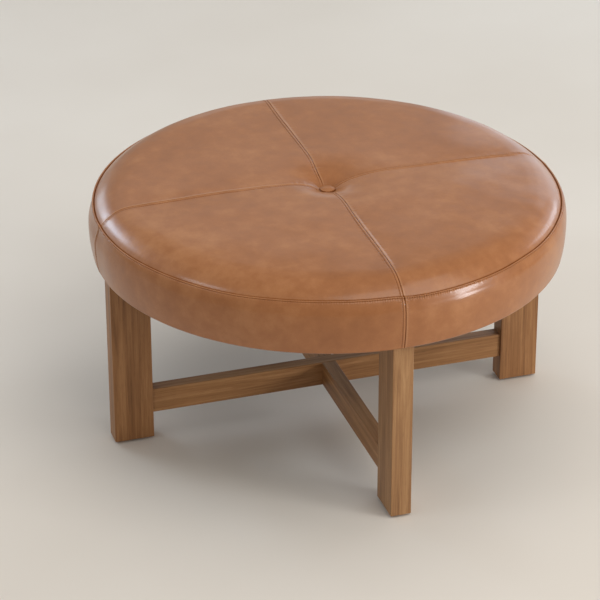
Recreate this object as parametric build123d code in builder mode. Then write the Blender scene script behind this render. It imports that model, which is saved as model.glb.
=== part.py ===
from build123d import *
import os
from math import cos, degrees, radians, sin

# A round tufted ottoman: an upholstered drum with one covered button, on four legs and a crossed stretcher.
# Millimetres, +Z up. The origin is on the floor under the middle of the seat.
# The front leg stands at -Y, the right leg at +X.

os.makedirs("parts", exist_ok=True)

# The seat's size
seat_radius = 405            # widest line of the band
band_height = 92             # from the underside of the hem to the shoulder

# Clearances and cuts
lie = 0.3                    # between soft or seated pieces that lie on each other
fit = 0.1                    # on the radius of a round piece in its hole, and beside a lap
overrun = 2                  # how far a cut runs past the face that it opens

# Legs
leg_length = 317.7           # from the glide up to the seat
leg_depth = 69               # measured along the seat's radius
leg_width = 35.4
leg_setback = 17             # from the widest line of the band in to the legs' outer faces
leg_ease = 1.6               # rounding of the upright edges
leg_foot_chamfer = 1.2

# Stretcher rails
rail_height = 44.3
rail_thickness = 24.2
rail_bottom = 48.2           # above the floor
rail_ease = 1.4

# Dowels between the rails and the legs
dowel_radius = 4
dowel_length = 40
dowel_spacing = 22
dowel_chamfer = 1
dowel_room = 0.5             # empty depth beyond each end of a dowel

# Screw through the halved crossing
lap_screw_radius = 2
lap_screw_head_radius = 4
lap_screw_head_height = 2.6
lap_screw_length = 36
lap_screw_slot_width = 1.1
lap_screw_slot_depth = 1.2

# Glides and their nails
glide_height = 3
glide_radius = 11.5
glide_rounding = 0.9
nail_radius = 1.1
nail_length = 15             # from the head's underside to the tip
nail_head_radius = 4
nail_head_height = 0.8
nail_recess = 0.7            # head's lower face above the floor
nail_tip_length = 2.5

# Angle brackets between the legs and the seat board
bracket_thickness = 3
bracket_width = 30
bracket_reach = 42           # length of the arm under the board
bracket_drop = 42            # length of the arm down the leg
bracket_bend = 2.5           # inside radius of the bend
bracket_hole_room = 0.4      # on the radius of its bolt and screw holes

# Wood screws through the brackets into the legs
screw_radius = 2.1
screw_length = 24            # below the head
screw_head_radius = 4.2
screw_head_height = 2.4
screw_head_rounding = 1.1
screw_tip_length = 4
screw_first = 16             # from the bracket's top down to the first screw
screw_spacing = 15

# Bolts, washers and threaded inserts that hold the seat on the brackets
bolt_radius = 3
bolt_length = 19
bolt_head_radius = 5.4
bolt_head_height = 3.4
bolt_head_rounding = 1.2
bolt_socket_radius = 2.2
bolt_socket_depth = 2
bolt_inset = 24              # from the leg's inner face to the bolts
bolt_spacing = 16
washer_radius = 6.4
washer_thickness = 1.2
insert_radius = 5
insert_length = 11
insert_flange_radius = 7.5
insert_flange_thickness = 1.3

# Seat board
board_thickness = 15
board_ease = 1.5
twine_hole_radius = 4.5

# Leather cover
leather = 1.4
shoulder_inset = 10          # from the widest line in to the shoulder, where band and top are sewn
hem_inset = 5                # from the widest line in to the band just above the fold under the board
hem_width = 50               # leather turned in under the board
cheek_inset = 2.2            # from the widest line in to where the band starts to turn in
belly_height_share = 0.554   # widest line above the underside of the hem, in shares of band_height
cheek_height_share = 0.837   # where the band starts to turn in, in shares of band_height
belly_bend_share = 0.75      # how far the lower half of the side has filled out half way up
fold_radius = 6
seam_roll = 2                # how tightly the leather turns down into the seam
seam_allowance = 8           # leather turned down inside the seam
seam_gap = 0.3               # between two panels at a sewn line
rim_rise = 0.5               # edge of the top above the shoulder of the band
crown_height = 28            # middle of a quarter above the sewn edge
seam_sink = 2                # how far a sewn line lies below the quarters beside it
tuft_centre_radius = 6       # hole where the four corners meet under the button
tuft_slope = 1.3             # fall of the leather under the button

# The crown's outline from the rim to the tuft, in shares of seam_radius, crown_height and seam_sink.
# Every second point is the middle of an arc.
crown_radius_shares = (0.932, 0.85, 0.55, 0.30, 0.19, 0.114, 0.071)
crown_height_shares = (0.607, 0.893, 0.986, 1.0, 0.914, 0.732, 0.514)
crown_sink_shares = (0.4, 0.9, 1.0, 1.0, 1.0, 0.8, 0.5)
tuft_height_share = 0.214

# Where the sections of a quarter stand between its two sewn lines, and how far each is filled out
station_shares = (0, 0.07, 0.2, 0.5, 0.8, 0.93, 1)
pillow_shares = (0, 0.5, 0.87, 1, 0.87, 0.5, 0)
rim_bend_shares = (0.15, 0.55)   # middle of the rim's bend into the seam, in shares of seam_roll

# Filling
wadding = 8
side_wadding = 9             # between the board's edge and the band
core_drop = 28               # from the shoulder down to the top of the foam core
crown_edge_share = 0.25      # height of the foam's upright edge above the core, in wadding thicknesses
edge_radius_share = 0.945    # middle of the foam's rounded edge, in shares of board_radius
edge_height_share = 0.70     # and in shares of the rise from the edge to the crown

# Button, tufting twine and anchor
button_radius = 13
button_height = 5
button_leather = 1
button_edge_radius = 12.3    # where the dome turns in
button_edge_height = 2.4
button_lip = 3.4             # leather turned in under the button
button_shell_thickness = 0.7
button_back_thickness = 1.1
eye_radius = 3
eye_wire_radius = 0.7
twine_radius = 0.8
twine_bend = 2
anchor_radius = 10
anchor_thickness = 2
anchor_depth = 5.5           # of its seat in the board
knot_radius = 1.5

# Staples and the dust cover
staple_width = 10
staple_wire_width = 1.2
staple_wire_thickness = 0.7
staple_leg_length = 8
staple_slot_room = 0.1
hem_staple_inset = 18        # from the band's outer face in to the staples
hem_staple_count = 36
cover_thickness = 0.8
cover_inset = 28             # from the band just above the fold in to the dust cover's edge
cover_staple_inset = 9       # from the dust cover's edge in to the staples
cover_staple_count = 28
cover_leg_room = 1.5
cover_bolt_room = 1

# Levels and places that follow from the sizes above
sides = {"right": 0, "back": 90, "left": 180, "front": 270}
quarters = {"back_right": 0, "back_left": 90, "front_left": 180, "front_right": 270}
quarter_turn = 90
half_turn = 180
full_turn = 360
seam_radius = seat_radius - shoulder_inset
hem_radius = seat_radius - hem_inset
cheek_radius = seat_radius - cheek_inset
hem_inner_radius = hem_radius - hem_width
cover_radius = hem_radius - cover_inset
board_radius = hem_radius - leather - side_wadding - 2 * lie
leg_inner_radius = seat_radius - leg_setback - leg_depth
leg_top = glide_height + leg_length
leg_centre_radius = leg_inner_radius + leg_depth / 2
rail_middle = rail_bottom + rail_height / 2
hem_bottom = leg_top + lie
board_bottom = hem_bottom + leather + lie
board_top = board_bottom + board_thickness
core_bottom = board_top + lie
seam_height = hem_bottom + band_height
core_top = seam_height - core_drop
belly_height = hem_bottom + band_height * belly_height_share
cheek_height = hem_bottom + band_height * cheek_height_share
cover_bottom = hem_bottom - lie - cover_thickness
bracket_top = cover_bottom - lie
bolt_radius_from_middle = leg_inner_radius - bolt_inset
tuft_height = seam_height + crown_height * tuft_height_share
button_bottom = tuft_height + lie


def polar(radius, turn, sideways=0):
    """Point at a radius in a direction, moved sideways."""
    c = cos(radians(turn))
    s = sin(radians(turn))
    return radius * c - sideways * s, radius * s + sideways * c


def level(turn, height):
    """Level plane whose x axis points outwards in a direction."""
    return Plane.XY.rotated((0, 0, turn)).offset(height)


def outward(turn, radius, height):
    """Upright plane across a radius, facing away from the middle, with its y axis up."""
    x, y = polar(radius, turn)
    across = polar(0, turn, 1)
    away = polar(1, turn)
    return Plane(origin=(x, y, height), x_dir=(*across, 0), z_dir=(*away, 0))


def section(turn, sideways=0):
    """Upright plane along a radius: x is the radius and y is the height."""
    along = polar(1, turn)
    normal = polar(0, turn, -1)
    return Plane(origin=(*polar(0, turn, sideways), 0), x_dir=(*along, 0), z_dir=(*normal, 0))


bolt_points = [polar(bolt_radius_from_middle, turn, hand * bolt_spacing / 2)
               for turn in sides.values() for hand in (-1, 1)]
screw_drops = (screw_first, screw_first + screw_spacing)

# Legs
for side, turn in sides.items():
    with BuildPart() as leg:
        with BuildSketch(level(turn, glide_height)):
            with Locations((leg_centre_radius, 0)):
                Rectangle(leg_depth, leg_width)
        extrude(amount=leg_length)
        fillet(leg.edges().filter_by(Axis.Z), leg_ease)
        chamfer(leg.faces().sort_by(Axis.Z)[0].edges(), leg_foot_chamfer)
        with BuildSketch(outward(turn, leg_inner_radius, rail_middle)):
            with Locations((0, dowel_spacing / 2), (0, -dowel_spacing / 2)):
                Circle(dowel_radius + fit)
        extrude(amount=dowel_length / 2 + dowel_room, mode=Mode.SUBTRACT)
        with BuildSketch(outward(turn, leg_inner_radius, bracket_top)):
            with Locations(*[(0, -drop) for drop in screw_drops]):
                Circle(screw_radius + fit)
        extrude(amount=screw_length, mode=Mode.SUBTRACT)
        with BuildSketch(level(turn, glide_height)):
            with Locations((leg_centre_radius, 0)):
                Circle(nail_radius + fit)
        extrude(amount=nail_length, mode=Mode.SUBTRACT)
    leg.part.label = f"leg_{side}"
    export_step(leg.part, f"parts/leg_{side}.step")

# Rails, halved into each other in the middle: the one from left to right lies on top
rails = {"rail_left_right": (0, rail_bottom), "rail_front_back": (90, rail_middle)}
for name, (turn, notch_bottom) in rails.items():
    with BuildPart() as rail:
        with BuildSketch(level(turn, rail_bottom)):
            Rectangle(2 * leg_inner_radius, rail_thickness)
        extrude(amount=rail_height)
        fillet(rail.edges().filter_by(Axis.X if turn == 0 else Axis.Y), rail_ease)
        with BuildSketch(level(turn, notch_bottom)):
            Rectangle(rail_thickness + 2 * fit, rail_thickness + overrun)
        extrude(amount=rail_height / 2, mode=Mode.SUBTRACT)
        for end in (turn, turn + half_turn):
            with BuildSketch(outward(end, leg_inner_radius, rail_middle)):
                with Locations((0, dowel_spacing / 2), (0, -dowel_spacing / 2)):
                    Circle(dowel_radius + fit)
            extrude(amount=-dowel_length / 2 - dowel_room, mode=Mode.SUBTRACT)
        with BuildSketch(Plane.XY.offset(rail_bottom)):
            Circle(lap_screw_radius + fit)
        extrude(amount=lap_screw_length, mode=Mode.SUBTRACT)
        with BuildSketch(section(0)):
            with BuildLine():
                Polyline((0, rail_bottom),
                         (lap_screw_head_radius + fit, rail_bottom),
                         (lap_screw_radius + fit, rail_bottom + lap_screw_head_height),
                         (0, rail_bottom + lap_screw_head_height), close=True)
            make_face()
        revolve(axis=Axis.Z, mode=Mode.SUBTRACT)
    rail.part.label = name
    export_step(rail.part, f"parts/{name}.step")

# Dowels, two at each end of each rail
with BuildPart() as rail_dowels:
    for turn in sides.values():
        with BuildSketch(outward(turn, leg_inner_radius - dowel_length / 2, rail_middle)):
            with Locations((0, dowel_spacing / 2), (0, -dowel_spacing / 2)):
                Circle(dowel_radius)
        extrude(amount=dowel_length)
    chamfer(rail_dowels.edges().filter_by(GeomType.CIRCLE), dowel_chamfer)
rail_dowels.part.label = "rail_dowels"
export_step(rail_dowels.part, "parts/rail_dowels.step")

# Countersunk screw, driven from below through the crossing
with BuildPart() as lap_screw:
    with BuildSketch(section(0)):
        with BuildLine():
            Polyline((0, rail_bottom),
                     (lap_screw_head_radius, rail_bottom),
                     (lap_screw_radius, rail_bottom + lap_screw_head_height),
                     (lap_screw_radius, rail_bottom + lap_screw_length - screw_tip_length),
                     (0, rail_bottom + lap_screw_length), close=True)
        make_face()
    revolve(axis=Axis.Z)
    with BuildSketch(Plane.XY.offset(rail_bottom)):
        Rectangle(2 * lap_screw_head_radius - lap_screw_slot_depth, lap_screw_slot_width)
        Rectangle(lap_screw_slot_width, 2 * lap_screw_head_radius - lap_screw_slot_depth)
    extrude(amount=lap_screw_slot_depth, mode=Mode.SUBTRACT)
lap_screw.part.label = "lap_screw"
export_step(lap_screw.part, "parts/lap_screw.step")

# Glides
for side, turn in sides.items():
    with BuildPart() as glide:
        with BuildSketch(level(turn, 0)):
            with Locations((leg_centre_radius, 0)):
                Circle(glide_radius)
        extrude(amount=glide_height)
        fillet(glide.faces().sort_by(Axis.Z)[0].edges(), glide_rounding)
        with BuildSketch(level(turn, 0)):
            with Locations((leg_centre_radius, 0)):
                Circle(nail_head_radius + fit)
        extrude(amount=nail_recess + nail_head_height, mode=Mode.SUBTRACT)
        with BuildSketch(level(turn, 0)):
            with Locations((leg_centre_radius, 0)):
                Circle(nail_radius + fit)
        extrude(amount=glide_height, mode=Mode.SUBTRACT)
    glide.part.label = f"glide_{side}"
    export_step(glide.part, f"parts/glide_{side}.step")

# Glide nails, their heads sunk into the glides
with BuildPart() as glide_nails:
    with BuildSketch(Plane.XZ):
        with BuildLine():
            nail_shoulder = nail_recess + nail_head_height
            Polyline((0, nail_recess), (nail_head_radius, nail_recess), (nail_head_radius, nail_shoulder),
                     (nail_radius, nail_shoulder), (nail_radius, nail_shoulder + nail_length - nail_tip_length),
                     (0, nail_shoulder + nail_length), close=True)
        make_face()
    nail = revolve(axis=Axis.Z, mode=Mode.PRIVATE)
    with Locations(*[polar(leg_centre_radius, turn) for turn in sides.values()]):
        add(nail)
glide_nails.part.label = "glide_nails"
export_step(glide_nails.part, "parts/glide_nails.step")

# Angle brackets
for side, turn in sides.items():
    with BuildPart() as bracket:
        with BuildSketch(section(turn)):
            with BuildLine():
                Polyline((leg_inner_radius, bracket_top),
                         (leg_inner_radius - bracket_reach, bracket_top),
                         (leg_inner_radius - bracket_reach, bracket_top - bracket_thickness),
                         (leg_inner_radius - bracket_thickness, bracket_top - bracket_thickness),
                         (leg_inner_radius - bracket_thickness, bracket_top - bracket_drop),
                         (leg_inner_radius, bracket_top - bracket_drop), close=True)
            make_face()
        extrude(amount=bracket_width / 2, both=True)
        upright = polar(0, turn, 1)
        bend_edges = bracket.edges().filter_by(Axis((0, 0, 0), (*upright, 0)))
        inside = bend_edges.sort_by_distance((*polar(leg_inner_radius - bracket_thickness, turn),
                                              bracket_top - bracket_thickness))[0]
        outside = bend_edges.sort_by_distance((*polar(leg_inner_radius, turn), bracket_top))[0]
        fillet(inside, bracket_bend)
        fillet(outside, bracket_bend + bracket_thickness)
        with BuildSketch(level(turn, bracket_top)):
            with Locations(*[(bolt_radius_from_middle, hand * bolt_spacing / 2) for hand in (-1, 1)]):
                Circle(bolt_radius + bracket_hole_room)
        extrude(amount=-bracket_thickness, mode=Mode.SUBTRACT)
        with BuildSketch(outward(turn, leg_inner_radius, bracket_top)):
            with Locations(*[(0, -drop) for drop in screw_drops]):
                Circle(screw_radius + bracket_hole_room)
        extrude(amount=-bracket_thickness, mode=Mode.SUBTRACT)
    bracket.part.label = f"bracket_{side}"
    export_step(bracket.part, f"parts/bracket_{side}.step")

# Wood screws through the brackets
with BuildPart() as bracket_screws:
    head_face = leg_inner_radius - bracket_thickness
    for turn in sides.values():
        for drop in screw_drops:
            line = bracket_top - drop
            with BuildSketch(section(turn)):
                with BuildLine():
                    Polyline((head_face, line),
                             (head_face, line + screw_radius),
                             (head_face + screw_length - screw_tip_length, line + screw_radius),
                             (head_face + screw_length, line), close=True)
                make_face()
                with BuildLine():
                    crest = head_face - screw_head_height
                    Line((head_face, line), (crest, line))
                    Line((crest, line), (crest, line + screw_head_radius - screw_head_rounding))
                    RadiusArc((crest, line + screw_head_radius - screw_head_rounding),
                              (crest + screw_head_rounding, line + screw_head_radius), screw_head_rounding)
                    Line((crest + screw_head_rounding, line + screw_head_radius),
                         (head_face, line + screw_head_radius))
                    Line((head_face, line + screw_head_radius), (head_face, line))
                make_face()
            revolve(axis=Axis((*polar(head_face, turn), line), (*polar(1, turn), 0)))
bracket_screws.part.label = "bracket_screws"
export_step(bracket_screws.part, "parts/bracket_screws.step")

# Seat bolts with button heads
bolt_seat = bracket_top - bracket_thickness - washer_thickness
with BuildPart() as seat_bolts:
    with BuildSketch(Plane.XY.offset(bolt_seat)):
        with Locations(*bolt_points):
            Circle(bolt_head_radius)
    extrude(amount=-bolt_head_height)
    fillet(seat_bolts.faces().group_by(Axis.Z)[0].edges(), bolt_head_rounding)
    with BuildSketch(Plane.XY.offset(bolt_seat)):
        with Locations(*bolt_points):
            Circle(bolt_radius)
    extrude(amount=bolt_length)
    with BuildSketch(Plane.XY.offset(bolt_seat - bolt_head_height)):
        with Locations(*bolt_points):
            RegularPolygon(bolt_socket_radius, 6)
    extrude(amount=bolt_socket_depth, mode=Mode.SUBTRACT)
seat_bolts.part.label = "seat_bolts"
export_step(seat_bolts.part, "parts/seat_bolts.step")

# Washers
with BuildPart() as bolt_washers:
    with BuildSketch(Plane.XY.offset(bolt_seat)):
        with Locations(*bolt_points):
            Circle(washer_radius)
            Circle(bolt_radius + fit, mode=Mode.SUBTRACT)
    extrude(amount=washer_thickness)
bolt_washers.part.label = "bolt_washers"
export_step(bolt_washers.part, "parts/bolt_washers.step")

# Threaded inserts, flush with the top of the board
with BuildPart() as threaded_inserts:
    with BuildSketch(Plane.XY.offset(board_top - insert_length)):
        with Locations(*bolt_points):
            Circle(insert_radius)
    extrude(amount=insert_length)
    with BuildSketch(Plane.XY.offset(board_top - insert_flange_thickness)):
        with Locations(*bolt_points):
            Circle(insert_flange_radius)
    extrude(amount=insert_flange_thickness)
    with BuildSketch(Plane.XY.offset(board_top - insert_length)):
        with Locations(*bolt_points):
            Circle(bolt_radius + fit)
    extrude(amount=insert_length, mode=Mode.SUBTRACT)
threaded_inserts.part.label = "threaded_inserts"
export_step(threaded_inserts.part, "parts/threaded_inserts.step")


def ring_turns(count):
    """Directions of a ring of staples, spaced evenly, with none on a panel's edge."""
    pitch = full_turn / count
    return [pitch * (number + 1 / 2) for number in range(count)]


def staple_legs(radius, turns, room):
    """Sections of the staples' legs, with room beside them."""
    for turn in turns:
        for hand in (-1, 1):
            place = polar(radius, turn, hand * (staple_width - staple_wire_width) / 2)
            with Locations(place):
                Circle(staple_wire_width / 2 + room)


hem_staple_radius = hem_radius - hem_staple_inset
cover_staple_radius = cover_radius - cover_staple_inset
hem_staple_top = hem_bottom - staple_wire_thickness + staple_leg_length
cover_staple_top = cover_bottom - staple_wire_thickness + staple_leg_length

# Seat board
with BuildPart() as seat_board:
    with BuildSketch(Plane.XY.offset(board_bottom)):
        Circle(board_radius)
    extrude(amount=board_thickness)
    chamfer(seat_board.edges().filter_by(GeomType.CIRCLE), board_ease)
    with BuildSketch(Plane.XY.offset(board_bottom)):
        Circle(twine_hole_radius)
        with Locations(*bolt_points):
            Circle(insert_radius + fit)
    extrude(amount=board_thickness, mode=Mode.SUBTRACT)
    with BuildSketch(Plane.XY.offset(board_top - insert_flange_thickness)):
        with Locations(*bolt_points):
            Circle(insert_flange_radius + fit)
    extrude(amount=insert_flange_thickness, mode=Mode.SUBTRACT)
    with BuildSketch(Plane.XY.offset(board_bottom)):
        Circle(anchor_radius + fit)
    extrude(amount=anchor_depth, mode=Mode.SUBTRACT)
    with BuildSketch(Plane.XY.offset(board_bottom)):
        staple_legs(hem_staple_radius, ring_turns(hem_staple_count), staple_slot_room)
    extrude(amount=hem_staple_top - board_bottom, mode=Mode.SUBTRACT)
    with BuildSketch(Plane.XY.offset(board_bottom)):
        staple_legs(cover_staple_radius, ring_turns(cover_staple_count), staple_slot_room)
    extrude(amount=cover_staple_top - board_bottom, mode=Mode.SUBTRACT)
seat_board.part.label = "seat_board"
export_step(seat_board.part, "parts/seat_board.step")

# Staples: crowns below, legs up
staple_rings = {"hem_staples": (hem_staple_radius, hem_staple_count, hem_bottom),
                "cover_staples": (cover_staple_radius, cover_staple_count, cover_bottom)}
for name, (radius, count, crown_top) in staple_rings.items():
    with BuildPart() as staples:
        with BuildSketch(Plane.XY.offset(crown_top)):
            for turn in ring_turns(count):
                with Locations(Location((*polar(radius, turn), 0), (0, 0, turn))):
                    Rectangle(staple_wire_width, staple_width)
        extrude(amount=-staple_wire_thickness)
        with BuildSketch(Plane.XY.offset(crown_top)):
            staple_legs(radius, ring_turns(count), 0)
        extrude(amount=staple_leg_length - staple_wire_thickness)
    staples.part.label = name
    export_step(staples.part, f"parts/{name}.step")

# Dust cover, cut out round the legs and punched for the bolts
with BuildPart() as dust_cover:
    with BuildSketch(Plane.XY.offset(cover_bottom)):
        Circle(cover_radius)
        with Locations(*bolt_points):
            Circle(bolt_radius + cover_bolt_room, mode=Mode.SUBTRACT)
        for turn in sides.values():
            with Locations(Location((*polar(leg_centre_radius, turn), 0), (0, 0, turn))):
                Rectangle(leg_depth + 2 * cover_leg_room, leg_width + 2 * cover_leg_room,
                          mode=Mode.SUBTRACT)
    extrude(amount=cover_thickness)
    with BuildSketch(Plane.XY.offset(cover_bottom)):
        staple_legs(cover_staple_radius, ring_turns(cover_staple_count), staple_slot_room)
    extrude(amount=cover_thickness, mode=Mode.SUBTRACT)
dust_cover.part.label = "dust_cover"
export_step(dust_cover.part, "parts/dust_cover.step")


def band_side(inset):
    """The band's section from above the fold up to the cheek, moved inwards; gives its two arcs."""
    fold_top = hem_bottom + fold_radius
    belly = ThreePointArc((hem_radius - inset, fold_top),
                          (hem_radius - inset + hem_inset * belly_bend_share, (fold_top + belly_height) / 2),
                          (seat_radius - inset, belly_height))
    cheek = TangentArc(belly @ 1, (cheek_radius - inset, cheek_height), tangent=(0, 1))
    return belly, cheek


# Band panels: hem, fold, drawn-in sides and the leather turned down into the seam
gap_turn = degrees(seam_gap / seam_radius)
for quarter, turn in quarters.items():
    with BuildPart() as band_panel:
        with BuildSketch(section(turn + gap_turn / 2)):
            with BuildLine():
                hem = Line((hem_inner_radius, hem_bottom), (hem_radius - fold_radius, hem_bottom))
                TangentArc(hem @ 1, (hem_radius, hem_bottom + fold_radius), tangent=(1, 0))
                belly, cheek = band_side(0)
                shoulder = TangentArc(cheek @ 1, (seam_radius, seam_height), tangent=cheek % 1)
                heading = shoulder % 1
                turned = shoulder @ 1 + Vector(-heading.Y - 1, heading.X) * seam_roll
                TangentArc(shoulder @ 1, turned, tangent=heading)
                Line(turned, turned - Vector(0, seam_allowance))
                offset(amount=leather, side=Side.RIGHT)
            make_face()
        revolve(axis=Axis.Z, revolution_arc=quarter_turn - gap_turn)
        with BuildSketch(Plane.XY.offset(hem_bottom)):
            for radius, count in ((hem_staple_radius, hem_staple_count),
                                  (cover_staple_radius, cover_staple_count)):
                own = [way for way in ring_turns(count) if turn < way < turn + quarter_turn]
                staple_legs(radius, own, staple_slot_room)
        extrude(amount=leather, mode=Mode.SUBTRACT)
    band_panel.part.label = f"band_panel_{quarter}"
    export_step(band_panel.part, f"parts/band_panel_{quarter}.step")

# The two turned-down edges hang side by side inside the band
seam_bottom = turned.Y - seam_allowance
panel_rim_radius = turned.X - lie


def crown_points(pillow, drop, rim_radius):
    """The crown's outline from the rim to the tuft, sunk by a drop; pillow is 0 on a sewn line."""
    points = [(rim_radius, seam_height + rim_rise - drop)]
    for radius_share, height_share, sink_share in zip(crown_radius_shares, crown_height_shares,
                                                      crown_sink_shares):
        rise = crown_height * height_share - seam_sink * sink_share * (1 - pillow)
        points.append((seam_radius * radius_share, seam_height + rise - drop))
    points.append((button_radius, tuft_height - drop))
    return points


def crown_arcs(points, first=0):
    """Arcs from a point of the crown to the tuft, then on under the button; gives where it ends."""
    for start in range(first, len(points) - 1, 2):
        ThreePointArc(*points[start:start + 3])
    centre = (tuft_centre_radius, points[-1][1] - tuft_slope)
    Line(points[-1], centre)
    return centre


# Where each section of a quarter stands, and which way it is moved off its sewn line
stations = [(share * quarter_turn, pillow, (share == 0) - (share == 1))
            for share, pillow in zip(station_shares, pillow_shares)]

# Top panels: crown, sewn lines sunk between the quarters, tuft and turned-down rim
for quarter, turn in quarters.items():
    with BuildPart() as top_panel:
        for away, pillow, hand in stations:
            upper = crown_points(pillow, 0, panel_rim_radius - seam_roll / 2)
            lower = crown_points(pillow, leather, panel_rim_radius - leather)
            with BuildSketch(section(turn + away, hand * seam_gap / 2)):
                with BuildLine():
                    upper_centre = crown_arcs(upper)
                    lower_centre = crown_arcs(lower)
                    Line(upper_centre, lower_centre)
                    rim = Vector(panel_rim_radius, upper[0][1] - seam_roll)
                    bend = Vector(-seam_roll * rim_bend_shares[0], seam_roll * rim_bend_shares[1])
                    ThreePointArc(upper[0], rim + bend, rim)
                    Polyline(rim, (panel_rim_radius, seam_bottom),
                             (panel_rim_radius - leather, seam_bottom), lower[0])
                make_face()
        loft()
    top_panel.part.label = f"top_panel_{quarter}"
    export_step(top_panel.part, f"parts/top_panel_{quarter}.step")


def edge_middle(inner):
    """Middle of the arc that rounds the foam's edge, up to the crown's point given."""
    rise = inner[1] - edge_height
    return (board_radius * edge_radius_share, edge_height + rise * edge_height_share)


# Wadding over the crown and down the side, thicker under the middle of each quarter
skin = leather + lie
filling_radius = board_radius + lie
edge_height = core_top + wadding * crown_edge_share
wadding_quarters = []
for turn in quarters.values():
    with BuildPart() as wadding_quarter:
        for away, pillow, hand in stations:
            upper = crown_points(pillow, skin, panel_rim_radius - skin)
            lower = crown_points(0, skin + wadding, panel_rim_radius - skin)
            with BuildSketch(section(turn + away)):
                with BuildLine():
                    upper_centre = crown_arcs(upper)
                    lower_centre = crown_arcs(lower, 2)
                    Line(upper_centre, lower_centre)
                    ThreePointArc(lower[2], edge_middle(lower[2]), (filling_radius, edge_height))
                    belly, cheek = band_side(skin)
                    Polyline((filling_radius, edge_height), (filling_radius, hem_bottom + fold_radius),
                             belly @ 0)
                    Polyline(cheek @ 1, (seam_radius, seam_bottom - lie),
                             (panel_rim_radius - skin, seam_bottom - lie), upper[0])
                make_face()
        loft()
    wadding_quarters.append(wadding_quarter.part)
with BuildPart() as wadding_wrap:
    add(wadding_quarters)
wadding_wrap.part.label = "wadding_wrap"
export_step(wadding_wrap.part, "parts/wadding_wrap.step")

# Softer foam crown, domed and rounded at its edge
with BuildPart() as foam_crown:
    with BuildSketch(section(0)):
        with BuildLine():
            dome = crown_points(0, skin + wadding + lie, panel_rim_radius)
            dome_centre = crown_arcs(dome, 2)
            ThreePointArc(dome[2], edge_middle(dome[2]), (board_radius, edge_height - lie))
            Polyline((board_radius, edge_height - lie), (board_radius, core_top + lie),
                     (tuft_centre_radius, core_top + lie), dome_centre)
        make_face()
    revolve(axis=Axis.Z)
foam_crown.part.label = "foam_crown"
export_step(foam_crown.part, "parts/foam_crown.step")

# Firm foam core
with BuildPart() as foam_core:
    with BuildSketch(Plane.XY.offset(core_bottom)):
        Circle(board_radius)
        Circle(tuft_centre_radius, mode=Mode.SUBTRACT)
    extrude(amount=core_top - core_bottom)
foam_core.part.label = "foam_core"
export_step(foam_core.part, "parts/foam_core.step")

# Button: leather drawn over a metal shell and turned in under it
dome_slope = (button_height - button_edge_height) / button_edge_radius
edge_bottom_radius = button_edge_radius - button_edge_height * dome_slope
with BuildPart() as button_cover:
    with BuildSketch(section(0)):
        with BuildLine():
            dome = TangentArc((0, button_bottom + button_height),
                              (button_edge_radius, button_bottom + button_edge_height), tangent=(1, 0))
            turn_in = TangentArc(dome @ 1, (edge_bottom_radius, button_bottom), tangent=dome % 1)
            Line(turn_in @ 1, (edge_bottom_radius - button_lip, button_bottom))
            offset(amount=button_leather, side=Side.RIGHT)
        make_face()
    revolve(axis=Axis.Z)
button_cover.part.label = "button_cover"
export_step(button_cover.part, "parts/button_cover.step")

shell_radius = button_edge_radius - button_leather - button_shell_thickness
shell_top = button_bottom + button_height - button_leather - fit
shell_bottom = button_bottom + button_leather + fit
with BuildPart() as button_shell:
    with BuildSketch(section(0)):
        with BuildLine():
            dome = TangentArc((0, shell_top),
                              (shell_radius, button_bottom + button_edge_height - button_leather),
                              tangent=(1, 0))
            hollow = TangentArc((0, shell_top - button_shell_thickness),
                                (shell_radius - button_shell_thickness, shell_bottom), tangent=(1, 0))
            Polyline(dome @ 1, (shell_radius, shell_bottom), hollow @ 1)
            Line(dome @ 0, hollow @ 0)
        make_face()
    revolve(axis=Axis.Z)
button_shell.part.label = "button_shell"
export_step(button_shell.part, "parts/button_shell.step")

# Button back with its wire eye
back_bottom = button_bottom + fit
with BuildPart() as button_back:
    with BuildSketch(Plane.XY.offset(back_bottom)):
        Circle(edge_bottom_radius - button_lip - fit)
    extrude(amount=button_back_thickness)
    with BuildSketch(Plane.XY.offset(back_bottom + eye_wire_radius / 2)):
        with Locations((eye_radius, 0)):
            Circle(eye_wire_radius)
    revolve(axis=Axis((0, 0, back_bottom + eye_wire_radius / 2), (0, 1, 0)), revolution_arc=half_turn)
button_back.part.label = "button_back"
export_step(button_back.part, "parts/button_back.step")

# Anchor disc, let into the board from below
anchor_bottom = board_bottom + anchor_depth - anchor_thickness
with BuildPart() as twine_anchor:
    with BuildSketch(Plane.XY.offset(anchor_bottom)):
        Circle(anchor_radius)
        with Locations((0, twine_bend), (0, -twine_bend)):
            Circle(twine_radius + fit, mode=Mode.SUBTRACT)
    extrude(amount=anchor_thickness)
twine_anchor.part.label = "twine_anchor"
export_step(twine_anchor.part, "parts/twine_anchor.step")

# Tufting twine: a loop through the eye and round the anchor, knotted below it
loop_top = back_bottom - eye_radius - eye_wire_radius + twine_radius
with BuildPart() as tufting_twine:
    with BuildLine(Plane.YZ):
        Line((twine_bend, anchor_bottom), (twine_bend, loop_top))
        ThreePointArc((twine_bend, loop_top), (0, loop_top + twine_bend), (-twine_bend, loop_top))
        Line((-twine_bend, loop_top), (-twine_bend, anchor_bottom))
        ThreePointArc((-twine_bend, anchor_bottom), (0, anchor_bottom - twine_bend),
                      (twine_bend, anchor_bottom))
    with BuildSketch(Plane.XY.offset(anchor_bottom)):
        with Locations((0, twine_bend)):
            Circle(twine_radius)
    sweep()
    with Locations((0, 0, anchor_bottom - twine_bend)):
        Sphere(knot_radius)
tufting_twine.part.label = "tufting_twine"
export_step(tufting_twine.part, "parts/tufting_twine.step")
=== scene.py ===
from math import cos, pi, radians, sin

import bmesh
import bpy
import numpy as np
from mathutils import Matrix, Quaternion, Vector
from mathutils.geometry import delaunay_2d_cdt
from mathutils.kdtree import KDTree

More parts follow.
